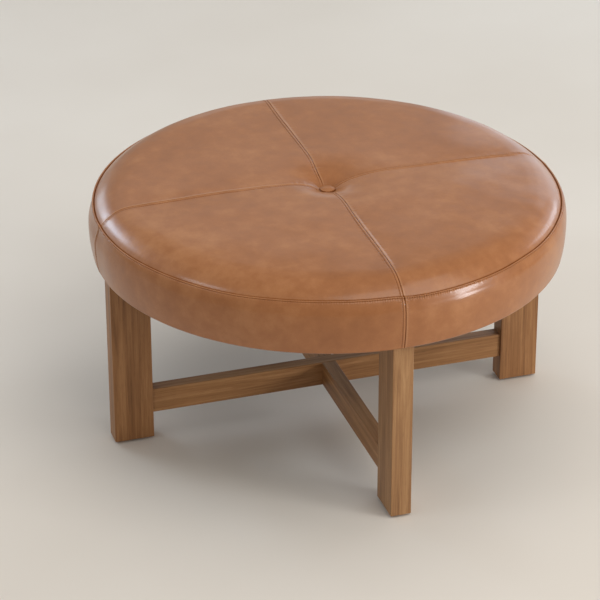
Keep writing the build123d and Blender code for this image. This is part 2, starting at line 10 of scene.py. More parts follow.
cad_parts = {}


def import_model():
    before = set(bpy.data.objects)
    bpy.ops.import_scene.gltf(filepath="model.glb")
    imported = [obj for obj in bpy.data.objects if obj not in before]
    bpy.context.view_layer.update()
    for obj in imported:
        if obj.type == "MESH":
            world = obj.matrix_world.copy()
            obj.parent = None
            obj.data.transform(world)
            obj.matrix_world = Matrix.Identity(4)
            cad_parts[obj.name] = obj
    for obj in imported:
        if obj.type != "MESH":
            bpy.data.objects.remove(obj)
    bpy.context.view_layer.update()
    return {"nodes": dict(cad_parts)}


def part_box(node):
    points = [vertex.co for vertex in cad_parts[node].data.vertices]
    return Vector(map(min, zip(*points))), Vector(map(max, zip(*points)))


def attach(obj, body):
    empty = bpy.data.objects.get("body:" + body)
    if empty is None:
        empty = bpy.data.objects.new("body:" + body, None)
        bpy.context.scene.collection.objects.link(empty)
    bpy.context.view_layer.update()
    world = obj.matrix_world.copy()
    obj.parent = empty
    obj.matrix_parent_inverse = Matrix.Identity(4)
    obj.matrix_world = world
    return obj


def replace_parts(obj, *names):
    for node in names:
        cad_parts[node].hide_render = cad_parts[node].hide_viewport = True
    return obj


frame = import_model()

# The looks of the tufted ottoman. Sizes are in millimetres and are turned into metres when a mesh is made.
MM = 0.001
SEED = 11
draw = np.random.default_rng(SEED)

# Levels and radii that the CAD part has; a pair is a radius and a height
HEM_BOTTOM = 321.0
HEM_INNER = 350.0
HEM_RADIUS = 400.0
FOLD_RADIUS = 6.0
BELLY = (405.0, 372.0)
CHEEK = (402.8, 398.0)
SHOULDER = (395.0, 413.0)
GROOVE = (391.5, 411.6)
SKIRT_DROPS = (0.8, 2, 4, 8)
LEATHER = 1.4
TUFT_RADIUS = 6.0
BOARD_TOP = 337.7
BOARD_RADIUS = 389.0
BUTTON_BOTTOM = 419.3
BUTTON_HEIGHT = 5.0
BUTTON_EDGE = (11.9, 2.4)
BUTTON_LIP = 3.4
LEG_INNER = 319.0
LEG_WIDTH = 35.4
LEG_TURNS = (0, 90, 180, 270)

# The crown of the seat, from the tuft out to the rim: radius, height, and how far a sewn line lies lower
CROWN = (
    (TUFT_RADIUS, 417.6, 0), (9, 418.7, 0), (12.6, 417.8, 0), (14.5, 418.9, 0), (28.05, 427.4, 1),
    (45.03, 433.5, 1.6), (75.05, 438.6, 2), (118.5, 441.0, 2), (217.25, 440.6, 2), (335.75, 438.0, 1.8),
    (352, 435.9, 1.3), (368.1, 430.0, 0.8), (380, 422.6, 0.4), (386, 417.8, 0.2), (390.1, 413.5, 0))
CROWN_RADII, CROWN_HEIGHTS, CROWN_SINKS = zip(*CROWN)
CROWN_EDGE = CROWN_RADII[-1]

# How much a quarter stands up, from one of its sewn lines (0) to the other (1)
PILLOW = ((0, 0), (0.07, 0.5), (0.2, 0.87), (0.5, 1), (0.8, 0.87), (0.93, 0.5), (1, 0))

# Where the sewn lines wander off the straight: radius and sideways distance, anticlockwise positive
SEAM_DRIFT = {
    "right": ((0, 0), (14, 2.5), (41, 1.8), (95, 3.3), (197, 5.0), (292, 3.6), (345, 0.8), (397, 3)),
    "back": ((0, 0), (14, 2.5), (39, 3.5), (97, 0), (262, 0), (320, -1.5), (397, -5)),
    "left": ((0, 0), (14, -3), (47, -6), (100, -3.6), (199, -7), (262, -5), (352, -5), (397, -4)),
    "front": ((0, 0), (13, 0.5), (83, 1.2), (120, -0.4), (176, -1.9), (293, -1.7), (357, -2.9), (397, -3.3)),
}
SEAM_TURNS = {"right": 0, "back": 90, "left": 180, "front": 270}
PANEL_SEAMS = {
    "back_right": ("right", "back"), "back_left": ("back", "left"),
    "front_left": ("left", "front"), "front_right": ("front", "right"),
}
TOPSTITCHED = {("back_right", 0), ("back_left", 0), ("front_left", 0), ("front_left", 1)}

# How far the rim's sewn line lies off its circle, by direction in degrees: 1 is RIM_SHIFT, outwards and up
RIM_SHIFT = (3.2, -4.2)
RIM_WANDER = (
    (0, 1.1), (70, 1.0), (170, 1.1), (182, 1.0), (194, 0.95), (206, 0.7), (218, 0.55), (230, 0.5),
    (240, 0.16), (254, 0), (266, 0), (272, 0.6), (278, 0.75), (296, 0.72), (304, 0.58), (314, 0.85),
    (326, 0.9), (338, 1.15), (350, 1.1), (360, 1.1))

# The band's shoulder is drawn in behind, and elsewhere pulled straight between two distances from the rim's
# sewn line, by direction in degrees: 1 is straight
SHOULDER_DRAWN_IN = (3.5, 1.8)
STRAIGHT_FROM = 4.9
STRAIGHT_TO = 31.0
STRAIGHTNESS = (
    (0, 0.2), (30, 0), (170, 0), (200, 0.4), (266, 0.4), (281, 0.82), (308, 0.82), (325, 0.45), (360, 0.2))

# Curves and noise

WAVE_SUM = 0.6


def smooth_curve(xs, ys):
    """Monotone cubic through the points, as a function of x."""
    xs = np.array(xs, float)
    ys = np.array(ys, float)
    step = np.diff(xs)
    slope = np.diff(ys) / step
    tangent = np.empty_like(xs)
    tangent[0] = slope[0]
    tangent[-1] = slope[-1]
    for i in range(1, len(xs) - 1):
        a = slope[i - 1]
        b = slope[i]
        if a * b <= 0:
            tangent[i] = 0
        else:
            wa = 2 * step[i] + step[i - 1]
            wb = step[i] + 2 * step[i - 1]
            tangent[i] = (wa + wb) / (wa / a + wb / b)

    def at(x):
        x = np.clip(np.asarray(x, float), xs[0], xs[-1])
        i = np.clip(np.searchsorted(xs, x, side="right") - 1, 0, len(step) - 1)
        t = (x - xs[i]) / step[i]
        t2 = t * t
        t3 = t2 * t
        return ((2 * t3 - 3 * t2 + 1) * ys[i] + (t3 - 2 * t2 + t) * step[i] * tangent[i]
                + (3 * t2 - 2 * t3) * ys[i + 1] + (t3 - t2) * step[i] * tangent[i + 1])

    return at


def ease(low, high, x):
    """0 below low, 1 above high, smooth between."""
    t = np.clip((np.asarray(x, float) - low) / (high - low), 0, 1)
    return t * t * (3 - 2 * t)


def hump(rise, full, fall, end, x):
    """0 up to rise, 1 from full to fall, 0 again from end on, smooth between."""
    return ease(rise, full, x) * (1 - ease(fall, end, x))


def ripples(wavelengths, count):
    """Sum of sines along a line, with wavelengths drawn between two bounds; about -1 to 1."""
    waves = draw.uniform(*wavelengths, count)
    phases = draw.uniform(0, 2 * pi, count)
    weights = draw.uniform(0.5, 1, count)
    weights = weights / np.sqrt((weights ** 2).sum() / 2) * WAVE_SUM

    def at(x):
        x = np.asarray(x, float)
        total = np.zeros_like(x)
        for wave, phase, weight in zip(waves, phases, weights):
            total = total + weight * np.sin(2 * pi * x / wave + phase)
        return total

    return at


def swells(wavelengths, count):
    """Sum of plane waves over the floor plan; about -1 to 1."""
    waves = draw.uniform(*wavelengths, count)
    ways = draw.uniform(0, 2 * pi, count)
    phases = draw.uniform(0, 2 * pi, count)

    def at(x, y):
        total = np.zeros_like(x)
        for wave, way, phase in zip(waves, ways, phases):
            total = total + np.sin(2 * pi * (x * cos(way) + y * sin(way)) / wave + phase)
        return total / np.sqrt(count / 2) * WAVE_SUM

    return at


crown_height = smooth_curve(CROWN_RADII, CROWN_HEIGHTS)
crown_sink = smooth_curve(CROWN_RADII, CROWN_SINKS)
pillow = smooth_curve(*zip(*PILLOW))
rim_wander = smooth_curve(*zip(*RIM_WANDER))
straightness = smooth_curve(*zip(*STRAIGHTNESS))
drift = {name: smooth_curve(*zip(*points)) for name, points in SEAM_DRIFT.items()}

# Section across a sewn line, by distance from it: the topstitched side and the plain side
seam_stitched = smooth_curve((0, 0.25, 0.55, 1.0, 2.0, 3.2, 4.2, 4.75, 5.3, 6.6, 9.5, 16),
                             (-0.7, -0.5, -0.1, 0.2, 0.5, 0.4, 0.05, -0.35, -0.05, 0.12, 0.08, 0))
seam_plain = smooth_curve((0, 0.25, 0.55, 1.0, 1.7, 2.8, 4.6, 8, 16),
                          (-0.7, -0.5, -0.05, 0.3, 0.55, 0.5, 0.25, 0.1, 0))
STITCH_ROW = 4.75
rim_lip = smooth_curve((0, 1.0, 2.6, 4.2, 4.9, 5.3, 5.7, 6.4, 8, 12, 26),
                       (0, 0.35, 0.65, 0.3, -0.3, -0.6, -0.35, 0.05, 0.22, 0.18, 0))
RIM_ROW = 5.3

# Painted shade (below 0) in the grooves and stitch channels, and painted highlight with wear (above 0) on the
# ridges and lips, by the same distances
shade_stitched = smooth_curve((0, 0.35, 0.8, 1.3, 2.2, 3.6, 4.2, 4.75, 5.3, 6, 16),
                              (-0.95, -0.6, -0.05, 0.4, 0.45, 0.15, -0.05, -0.22, -0.05, 0, 0))
shade_plain = smooth_curve((0, 0.35, 0.8, 1.3, 2.0, 3.2, 6, 16), (-0.95, -0.5, 0.2, 0.8, 0.9, 0.35, 0, 0))
shade_rim = smooth_curve((0, 0.6, 1.2, 2.0, 3.6, 4.5, 5.3, 6.1, 6.8, 26),
                         (-1, -0.8, -0.1, 0.35, 0.3, -0.1, -0.5, -0.1, 0, 0))
shade_top_rim = smooth_curve((0, 0.5, 1.1, 2.0, 3.5, 6), (-1, -0.7, -0.05, 0.3, 0.15, 0))

rim_puckers = ripples((7, 14), 9)
rim_strength = ripples((70, 260), 6)
seam_puckers = ripples((7, 15), 8)
tuft_creases = ripples((5.5, 14), 6)
top_swells = swells((95, 240), 9)
band_swells = ripples((60, 210), 8)


def seam_angle(name, radius):
    """Direction of a sewn line at a radius, in radians."""
    r = np.maximum(np.asarray(radius, float), TUFT_RADIUS)
    return radians(SEAM_TURNS[name]) + drift[name](r) / r


def crown(r, share):
    """Height of the smooth crown at a radius, share of the way from one sewn line to the next."""
    return crown_height(r) - crown_sink(r) * (1 - pillow(share))


def round_points(r, theta, z):
    """Points at radii, directions and heights."""
    r, theta, z = np.broadcast_arrays(r, theta, z)
    return np.stack([r * np.cos(theta), r * np.sin(theta), z], 1)


def radius_and_direction(points):
    """How far out points lie, and in which direction, in radians."""
    return np.hypot(points[:, 0], points[:, 1]), np.arctan2(points[:, 1], points[:, 0])


# Meshes


def mesh_object(name, points, faces):
    """Mesh object in the scene, from points in millimetres."""
    mesh = bpy.data.meshes.new(name)
    mesh.from_pydata((np.asarray(points, float) * MM).tolist(), [], faces)
    mesh.update()
    obj = bpy.data.objects.new(name, mesh)
    bpy.context.scene.collection.objects.link(obj)
    return obj


def new_object(name, points, faces, material, sharp=50):
    """Smooth piece of the seat, riding on the root body."""
    obj = mesh_object(name, points, faces)
    obj.data.shade_smooth()
    obj.data.set_sharp_from_angle(angle=radians(sharp))
    obj.data.materials.append(material)
    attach(obj, "root")
    return obj


def face_outwards(obj):
    """Turn all faces of a closed mesh outwards."""
    check = bmesh.new()
    check.from_mesh(obj.data)
    bmesh.ops.recalc_face_normals(check, faces=check.faces)
    check.to_mesh(obj.data)
    check.free()


def add_values(obj, name, values):
    """Keep a number, or three, for each point of a mesh; points past the end of values get none."""
    kept = np.zeros((len(obj.data.vertices), *values.shape[1:]), np.float32)
    kept[:len(values)] = values
    kind, key = ("FLOAT_VECTOR", "vector") if values.ndim > 1 else ("FLOAT", "value")
    obj.data.attributes.new(name, kind, "POINT").data.foreach_set(key, kept.ravel())


def grid_faces(rows, columns, start=0, closed_columns=False, closed_rows=False):
    """Quads of a grid of points stored row after row."""
    faces = []
    for i in range(rows if closed_rows else rows - 1):
        low = start + i * columns
        high = start + (i + 1) % rows * columns
        for j in range(columns if closed_columns else columns - 1):
            k = (j + 1) % columns
            faces.append((low + j, low + k, high + k, high + j))
    return faces


def zip_edges(first, second):
    """Triangles between two open runs of point numbers that start and end side by side."""
    faces = []
    i = j = 0
    while i < len(first) - 1 or j < len(second) - 1:
        next_i = (i + 1) / (len(first) - 1) if i < len(first) - 1 else 2
        next_j = (j + 1) / (len(second) - 1) if j < len(second) - 1 else 2
        if next_i <= next_j:
            faces.append((first[i], first[i + 1], second[j]))
            i += 1
        else:
            faces.append((first[i], second[j + 1], second[j]))
            j += 1
    return faces


def capped_rings(rings, first_pole, last_pole):
    """Points and outward faces of rings round the axis, closed by a pole at each end, the first one above."""
    rows = len(rings)
    columns = len(rings[0])
    points = np.concatenate([*rings, np.array([first_pole, last_pole])])
    faces = [face[::-1] for face in grid_faces(rows, columns, closed_columns=True)]
    above = rows * columns
    last = above - columns
    for j in range(columns):
        k = (j + 1) % columns
        faces.append((above, j, k))
        faces.append((above + 1, last + k, last + j))
    return points, faces


def shell(name, outer, inner, shade, rows_pinch, material):
    """Closed thin piece from an outer and an inner grid with as many columns.

    Each outer point keeps its shade, its place along the stitch rows and how far they pull (rows_pinch).
    """
    rows, columns = outer.shape[:2]
    inner_rows = inner.shape[0]
    start = rows * columns
    faces = [face[::-1] for face in grid_faces(rows, columns)]
    faces += grid_faces(inner_rows, columns, start)
    last = start - columns
    inner_last = start + (inner_rows - 1) * columns
    for j in range(columns - 1):
        faces.append((j, j + 1, start + j + 1, start + j))
        faces.append((last + j + 1, last + j, inner_last + j, inner_last + j + 1))
    near = [i * columns for i in range(rows)]
    near_in = [start + i * columns for i in range(inner_rows)]
    far = [place + columns - 1 for place in near]
    far_in = [place + columns - 1 for place in near_in]
    faces += [face[::-1] for face in zip_edges(near, near_in)]
    faces += zip_edges(far, far_in)
    points = np.concatenate([outer.reshape(-1, 3), inner.reshape(-1, 3)])
    obj = new_object(name, points, faces, material)
    # The inner face gets the darkest value: painted shade where it shows in the grooves between panels
    add_values(obj, "painted_shade_and_highlight", np.concatenate([shade.ravel(), -np.ones(len(points) - start)]))
    add_values(obj, "rows", rows_pinch[0].reshape(-1, 3))
    add_values(obj, "pinch", rows_pinch[1].reshape(-1, 3))
    face_outwards(obj)
    return obj


# Sewn lines: columns crowd beside them, and the leather rises and puckers there, with painted shade in the
# groove and a painted highlight on the ridges
NEAR_SEAM = np.array((
    0.12, 0.3, 0.55, 0.85, 1.2, 1.6, 2.1, 2.7, 3.3, 3.8, 4.15, 4.4, 4.65, 4.9, 5.2, 5.6, 6.2, 7, 8, 9.3, 11,
    13, 15.5, 18.5, 22, 26))
MIDDLE_COLUMNS = 250
NEAR_SHARE = 0.4


def column_places(length):
    """Distances from a panel's first sewn line to its columns, close together near both lines."""
    near = NEAR_SEAM * min(1.0, NEAR_SHARE * length / NEAR_SEAM[-1])
    middle = np.linspace(near[-1], length - near[-1], MIDDLE_COLUMNS + 2)[1:-1]
    return np.concatenate([near, middle, length - near[::-1]])


def by_side(panel, places, length, stitched, plain):
    """Sum of the curves that belong to a panel's two sewn lines, at distances from the first one."""
    first = stitched if (panel, 0) in TOPSTITCHED else plain
    second = stitched if (panel, 1) in TOPSTITCHED else plain
    return first(places) + second(length - places)


def seam_relief(panel, places, length):
    """Height of the leather over its smooth form near the two sewn lines of a panel."""
    return by_side(panel, places, length, seam_stitched, seam_plain)


def seam_shade(panel, places, length):
    """Painted shade (below 0) and painted highlight with wear (above 0) near the two sewn lines of a panel.
    """
    return by_side(panel, places, length, shade_stitched, shade_plain)


def stitch_pull(distance, width):
    """How strongly a stitch row pulls the leather in, by the distance from the row's sewn line."""
    return np.exp(-((distance - STITCH_ROW) / width) ** 2)


def seam_span(seams, radius):
    """Direction of a panel's first sewn line at a radius, and the angle from it to the second."""
    start = seam_angle(seams[0], radius)
    return start, np.mod(seam_angle(seams[1], radius) - start, 2 * pi)


def pillow_share(theta, r):
    """How far a direction lies from one sewn line to the next, 0 to 1."""
    share = np.zeros_like(theta)
    for seams in PANEL_SEAMS.values():
        start, turn = seam_span(seams, r)
        way = np.mod(theta - start, 2 * pi)
        share = np.where(way <= turn, way / turn, share)
    return share


def seam_distance(theta, r):
    """Distance along the circle to the nearest sewn line."""
    best = np.full_like(theta, np.inf)
    for name in SEAM_TURNS:
        off = np.mod(theta - seam_angle(name, r) + pi, 2 * pi) - pi
        best = np.minimum(best, np.abs(off) * np.maximum(r, 1.0))
    return best


# The band's section
def tangent_arc(start, end, tangent, count):
    """Points of the arc that leaves start along a direction and ends at end."""
    start = np.array(start, float)
    end = np.array(end, float)
    tangent = np.array(tangent, float) / np.hypot(*tangent)
    chord = end - start
    turn = 2 * np.arctan2(tangent[0] * chord[1] - tangent[1] * chord[0], tangent @ chord)
    if abs(turn) < 1e-6:
        return start + np.linspace(0, 1, count)[:, None] * chord, tangent
    radius = np.hypot(*chord) / (2 * sin(turn / 2))
    centre = start + radius * np.array((-tangent[1], tangent[0]))
    spoke = start - centre
    steps = np.linspace(0, turn, count)
    points = np.stack([centre[0] + spoke[0] * np.cos(steps) - spoke[1] * np.sin(steps),
                       centre[1] + spoke[0] * np.sin(steps) + spoke[1] * np.cos(steps)], 1)
    way = np.array((tangent[0] * cos(turn) - tangent[1] * sin(turn),
                    tangent[0] * sin(turn) + tangent[1] * cos(turn)))
    return points, way


def band_path():
    """Section of the band's outer face, from its hem to the edge turned down at the rim: radii, heights."""
    low = (HEM_RADIUS, HEM_BOTTOM + FOLD_RADIUS)
    hem = np.stack([np.linspace(HEM_INNER, HEM_RADIUS - FOLD_RADIUS, 10), np.full(10, HEM_BOTTOM)], 1)
    fold, _ = tangent_arc(hem[-1], low, (1, 0), 9)
    belly, _ = tangent_arc(BELLY, low, (0, -1), 20)
    cheek, way = tangent_arc(BELLY, CHEEK, (0, 1), 12)
    shoulder, way = tangent_arc(CHEEK, SHOULDER, way, 40)
    roll, _ = tangent_arc(SHOULDER, GROOVE, way, 9)
    skirt = [(GROOVE[0], GROOVE[1] - drop) for drop in SKIRT_DROPS]
    return np.concatenate([hem, fold[1:], belly[-2::-1], cheek[1:], shoulder[1:], roll[1:], skirt])


band_points = band_path()
band_run = np.concatenate([[0], np.cumsum(np.hypot(*np.diff(band_points, axis=0).T))])
groove_index = len(band_points) - 1 - len(SKIRT_DROPS)
band_from_groove = band_run[groove_index] - band_run
band_tangent = np.gradient(band_points, band_run, axis=0)
band_tangent /= np.hypot(*band_tangent.T)[:, None]
band_normal = np.stack([band_tangent[:, 1], -band_tangent[:, 0]], 1)

# How the section and the crown follow the wandering seam between them

RIM_FOLLOWED = (364, 390)
RIM_FOLLOWED_BELOW = 24
SECTION_SHIFT = 0.8


def moved(points, out, up):
    """Points moved outwards from the axis and upwards."""
    ratio = 1 + out / radius_and_direction(points)[0]
    return np.stack([points[:, 0] * ratio, points[:, 1] * ratio, points[:, 2] + up], 1)


def with_rim_moved(points, share):
    """Points moved as the rim's sewn line wanders off its circle, fully where share is 1."""
    _, theta = radius_and_direction(points)
    amount = rim_wander(np.mod(np.degrees(theta), 360)) * share
    return moved(points, RIM_SHIFT[0] * amount, RIM_SHIFT[1] * amount)


def top_rim_share(r):
    """How far a point of the crown follows the rim's sewn line, 0 to 1."""
    start, end = RIM_FOLLOWED
    return np.clip((np.asarray(r, float) - start) / (end - start), 0, 1) ** 2


def band_rim_share(a):
    """How far a point of the band follows the rim's sewn line, by its distance from that line."""
    return 1 - ease(0, RIM_FOLLOWED_BELOW, a)


def band_section(a):
    """Radius and height of the band at a distance from the rim's sewn line, with a mean shift of the rim."""
    section = [np.interp(a, band_from_groove[::-1], band_points[::-1, axis]) for axis in (0, 1)]
    return np.array(section) + np.array(RIM_SHIFT) * SECTION_SHIFT * band_rim_share(a)


def straight_shift(a):
    """Way from the band's curved shoulder to the straight line between its ends, as radius and height."""
    share = (a - STRAIGHT_FROM) / (STRAIGHT_TO - STRAIGHT_FROM)
    if share <= 0 or share >= 1:
        return np.zeros(2)
    line = band_section(STRAIGHT_FROM) * (1 - share) + band_section(STRAIGHT_TO) * share
    return (line - band_section(a)) * (1 - ease(0.55, 1.05, share))


def shoulder_shaped(points, a):
    """Band points with the shoulder drawn in or straightened, by their distance from the rim's sewn line."""
    _, theta = radius_and_direction(points)
    behind = ease(-0.32, 0.1, np.sin(theta)) * hump(3, 14, 16, 42, a)
    straight = straightness(np.mod(np.degrees(theta), 360))
    moves = np.array([straight_shift(float(place)) for place in np.atleast_1d(a)])
    out, up = SHOULDER_DRAWN_IN
    return moved(points, straight * moves[:, 0] - out * behind, straight * moves[:, 1] - up * behind)


# Cloth: the leather drawn over the filling, as a displacement of its smooth form

VOXEL = 6.0
CLOTH_TOP_RADII = (
    14, 20, 28, 38, 50, 66, 84, 104, 128, 154, 182, 212, 242, 272, 300, 326, 348, 366, 380, 389)
CLOTH_BOTTOM_RADII = (394, 340, 250, 150, 60)
CLOTH_TUFT = 418.0
CLOTH_FRAMES = 20
CLOTH_CAP = 7.0
CLOTH = {
    "quality": 6, "mass": 0.4, "tension_stiffness": 40, "compression_stiffness": 40, "shear_stiffness": 20,
    "bending_stiffness": 1.5, "air_damping": 4, "use_pressure": True, "uniform_pressure_force": 3,
    "vertex_group_mass": "held",
}
SLACK = 0.25
HELD_BESIDE_SEAM = 5
HELD_ROUND_TUFT = 17
HELD_ABOVE_HEM = 10
HELD_ROUND_RIM = 6.5
RIM_MIDDLE = (392.5, SHOULDER[1])


def closed_form():
    """Smooth closed form of the whole seat for the cloth: crown, band and flat underside."""
    theta = np.linspace(0, 2 * pi, 240, endpoint=False)
    rings = [round_points(r, theta, crown(r, pillow_share(theta, r))) for r in CLOTH_TOP_RADII]
    side = band_points[(band_points[:, 1] > HEM_BOTTOM + 0.5) & (band_from_groove > 1.5)]
    rings += [round_points(r, theta, z) for r, z in side[::-1][::3]]
    rings += [round_points(r, theta, HEM_BOTTOM) for r in CLOTH_BOTTOM_RADII]
    return mesh_object("cloth_form", *capped_rings(rings, (0, 0, CLOTH_TUFT), (0, 0, HEM_BOTTOM)))


def point_places(obj):
    """Places of an object's points in millimetres."""
    flat = np.empty(len(obj.data.vertices) * 3, np.float32)
    obj.data.vertices.foreach_get("co", flat)
    return flat.reshape(-1, 3).astype(float) / MM


def run_cloth():
    """Where the cloth's points start, and how far the pressure and the slack move each."""
    obj = closed_form()
    bpy.context.view_layer.objects.active = obj
    obj.select_set(True)
    remesh = obj.modifiers.new("remesh", "REMESH")
    remesh.mode = "VOXEL"
    remesh.voxel_size = VOXEL * MM
    bpy.ops.object.modifier_apply(modifier="remesh")
    start = point_places(obj)
    r, theta = radius_and_direction(start)
    height = start[:, 2]
    held = (seam_distance(theta, r) < HELD_BESIDE_SEAM) | (r < HELD_ROUND_TUFT)
    held |= height < HEM_BOTTOM + HELD_ABOVE_HEM
    held |= np.hypot(r - RIM_MIDDLE[0], height - RIM_MIDDLE[1]) < HELD_ROUND_RIM
    x, y, z = start.T
    waves = np.stack([np.sin(y / 9.1), np.sin(z / 7.3 + x / 11.7), np.sin(x / 8.3 + y / 12.9)], 1)
    start = start + SLACK * waves * (~held)[:, None]
    obj.data.vertices.foreach_set("co", (start * MM).astype(np.float32).ravel())
    group = obj.vertex_groups.new(name="held")
    group.add(np.nonzero(held)[0].tolist(), 1.0, "REPLACE")
    cloth = obj.modifiers.new("cloth", "CLOTH")
    for key, value in CLOTH.items():
        setattr(cloth.settings, key, value)
    cloth.settings.effector_weights.gravity = 0
    cloth.collision_settings.use_collision = False
    cloth.point_cache.frame_start = 1
    cloth.point_cache.frame_end = CLOTH_FRAMES
    for number in range(1, CLOTH_FRAMES + 1):
        bpy.context.scene.frame_set(number)
    bpy.ops.object.modifier_apply(modifier="cloth")
    move = point_places(obj) - start
    far = np.linalg.norm(move, axis=1)
    move *= np.minimum(1, CLOTH_CAP / np.maximum(far, 1e-6))[:, None]
    bpy.data.objects.remove(obj)
    bpy.context.scene.frame_set(1)
    return start, move


# Grids of what the cloth adds, and which of its points count: for the top those above a height and within
# a radius, for the band those beyond one
TOP_ABOVE = 411
TOP_WITHIN = 392
BAND_BEYOND = 385
CLOTH_CELL = 4.0
TOP_CELLS = 205
TOP_BINS = 61
TOP_BIN = 8
BAND_TURNS = 720
BAND_CELLS = 26
CLOTH_SHARE = 0.3
SOFT_ROUNDS = 6


def nearest_values(points, values, places):
    """Values at places, from the nearest points, weighted by distance."""
    tree = KDTree(len(points))
    for index, point in enumerate(points):
        tree.insert(point, index)
    tree.balance()
    found = np.zeros(len(places))
    for index, place in enumerate(places):
        total = weight_sum = 0.0
        for _, other, distance in tree.find_n(place, 5):
            weight = 1 / (distance * distance + 1)
            total += weight * values[other]
            weight_sum += weight
        found[index] = total / weight_sum
    return found


def softened(grid, rounds, wrap):
    """Grid with its short ripples smoothed out; wrap is set where the columns run round and round."""
    for _ in range(rounds):
        tall = np.pad(grid, ((1, 1), (0, 0)), mode="edge")
        grid = (tall[:-2] + 2 * tall[1:-1] + tall[2:]) / 4
        wide = np.pad(grid, ((0, 0), (1, 1)), mode="wrap" if wrap else "edge")
        grid = (wide[:, :-2] + 2 * wide[:, 1:-1] + wide[:, 2:]) / 4
    return grid


def sample_grid(grid, u, v, wrap):
    """Bilinear reading of a grid; u runs over the columns, and round and round where wrap is set."""
    rows, columns = grid.shape
    v = np.clip(v, 0, rows - 1.001)
    if not wrap:
        u = np.clip(u, 0, columns - 1.001)
    i = np.floor(v).astype(int)
    j = np.floor(u).astype(int)
    fv = v - i
    fu = u - j
    j0 = j % columns
    j1 = (j + 1) % columns
    return ((1 - fv) * ((1 - fu) * grid[i, j0] + fu * grid[i, j1])
            + fv * ((1 - fu) * grid[i + 1, j0] + fu * grid[i + 1, j1]))


def cloth_on_top(start, move, reach):
    """Lift of the top by the cloth over a square grid, less its mean at each radius."""
    upper = (start[:, 2] > TOP_ABOVE) & (reach < TOP_WITHIN)
    ticks = (np.arange(TOP_CELLS) - TOP_CELLS // 2) * CLOTH_CELL
    places = [(x, y, 0.0) for y in ticks for x in ticks]
    lift = nearest_values(start[upper] * (1, 1, 0), move[upper, 2], places).reshape(TOP_CELLS, TOP_CELLS)
    far = np.hypot(*np.meshgrid(ticks, ticks)) / TOP_BIN
    bins = np.clip(far.astype(int), 0, TOP_BINS - 1)
    means = [lift[bins == b].mean() if (bins == b).any() else 0 for b in range(TOP_BINS)]
    return softened(lift - np.interp(far, np.arange(TOP_BINS) + 0.5, means), SOFT_ROUNDS, False)


def cloth_on_band(start, move, reach):
    """Bulge of the band by the cloth, by height and direction, less its mean at each height."""
    side = (reach > BAND_BEYOND) & (start[:, 2] < SHOULDER[1]) & (start[:, 2] > HEM_BOTTOM + 2)
    outwards = (move[:, 0] * start[:, 0] + move[:, 1] * start[:, 1]) / reach
    around = round_points(HEM_RADIUS, np.arctan2(start[:, 1], start[:, 0]), start[:, 2])
    turns = np.arange(BAND_TURNS) * 2 * pi / BAND_TURNS
    levels = HEM_BOTTOM + np.arange(BAND_CELLS) * CLOTH_CELL
    places = [(cos(t) * HEM_RADIUS, sin(t) * HEM_RADIUS, z) for z in levels for t in turns]
    bulge = nearest_values(around[side], outwards[side], places).reshape(BAND_CELLS, BAND_TURNS)
    return softened(bulge - bulge.mean(axis=1)[:, None], SOFT_ROUNDS, True)


# The section and the crown already have the mean outline, so only what the cloth adds to it is kept
top_grid = np.zeros((TOP_CELLS, TOP_CELLS))
band_grid = np.zeros((BAND_CELLS, BAND_TURNS))
cloth_start, cloth_move = run_cloth()
cloth_reach, _ = radius_and_direction(cloth_start)
top_grid = cloth_on_top(cloth_start, cloth_move, cloth_reach)
band_grid = cloth_on_band(cloth_start, cloth_move, cloth_reach)


def cloth_top(x, y):
    """Lift of the top by the cloth over places of the floor plan."""
    middle = TOP_CELLS // 2
    return CLOTH_SHARE * sample_grid(top_grid, x / CLOTH_CELL + middle, y / CLOTH_CELL + middle, False)


def cloth_band(theta, z):
    """Bulge of the band by the cloth in directions and at heights."""
    u = np.mod(theta, 2 * pi) / (2 * pi) * BAND_TURNS
    return CLOTH_SHARE * sample_grid(band_grid, u, (z - HEM_BOTTOM) / CLOTH_CELL, True)


# Nodes and materials


def material(name):
    """Empty node material: itself, its shader, functions that add and join nodes, and the point's place."""
    made = bpy.data.materials.new(name)
    made.use_nodes = True
    tree = made.node_tree
    shader = tree.nodes["Principled BSDF"]

    def add(kind, links=(), **values):
        node = tree.nodes.new(kind)
        for key, value in values.items():
            if hasattr(node, key):
                setattr(node, key, value)
            else:
                node.inputs[key.replace("_", " ")].default_value = value
        for socket, source in links:
            tree.links.new(source, node.inputs[socket])
        return node

    def join(source, socket):
        tree.links.new(source, shader.inputs[socket])

    return made, shader, add, join, add("ShaderNodeTexCoord").outputs["Object"]


def rgb(r, g, b):
    """Linear colour of a colour written as on a screen, 0 to 255."""
    return tuple((c / 255 / 12.92) if c <= 10 else ((c / 255 + 0.055) / 1.055) ** 2.4 for c in (r, g, b))


def noise(add, place, scale, detail=3.0, roughness=0.5, distortion=0.0):
    """Cloudy value, about 0.3 to 0.7."""
    return add("ShaderNodeTexNoise", [("Vector", place)], Scale=scale, Detail=detail, Roughness=roughness,
               Distortion=distortion).outputs["Fac"]


def ramp(add, value, *stops):
    """Colour of a value, from stops of a place and a linear colour."""
    node = add("ShaderNodeValToRGB", [("Fac", value)])
    elements = node.color_ramp.elements
    for _ in stops[2:]:
        elements.new(1.0)
    for element, (place, colour) in zip(elements, stops):
        element.position = place
        element.color = (*colour, 1)
    return node.outputs["Color"]


def ranged(add, value, into, out_of=(0.0, 1.0)):
    """A value brought from one pair of limits into another."""
    return add("ShaderNodeMapRange", [("Value", value)], From_Min=out_of[0], From_Max=out_of[1],
               To_Min=into[0], To_Max=into[1]).outputs[0]


def weighted(add, first, first_share, second, second_share=1.0):
    """Sum of two values, each times its share."""
    part = add("ShaderNodeMath", [(0, second)], operation="MULTIPLY")
    part.inputs[1].default_value = second_share
    total = add("ShaderNodeMath", [(0, first), (2, part.outputs[0])], operation="MULTIPLY_ADD")
    total.inputs[1].default_value = first_share
    return total.outputs[0]


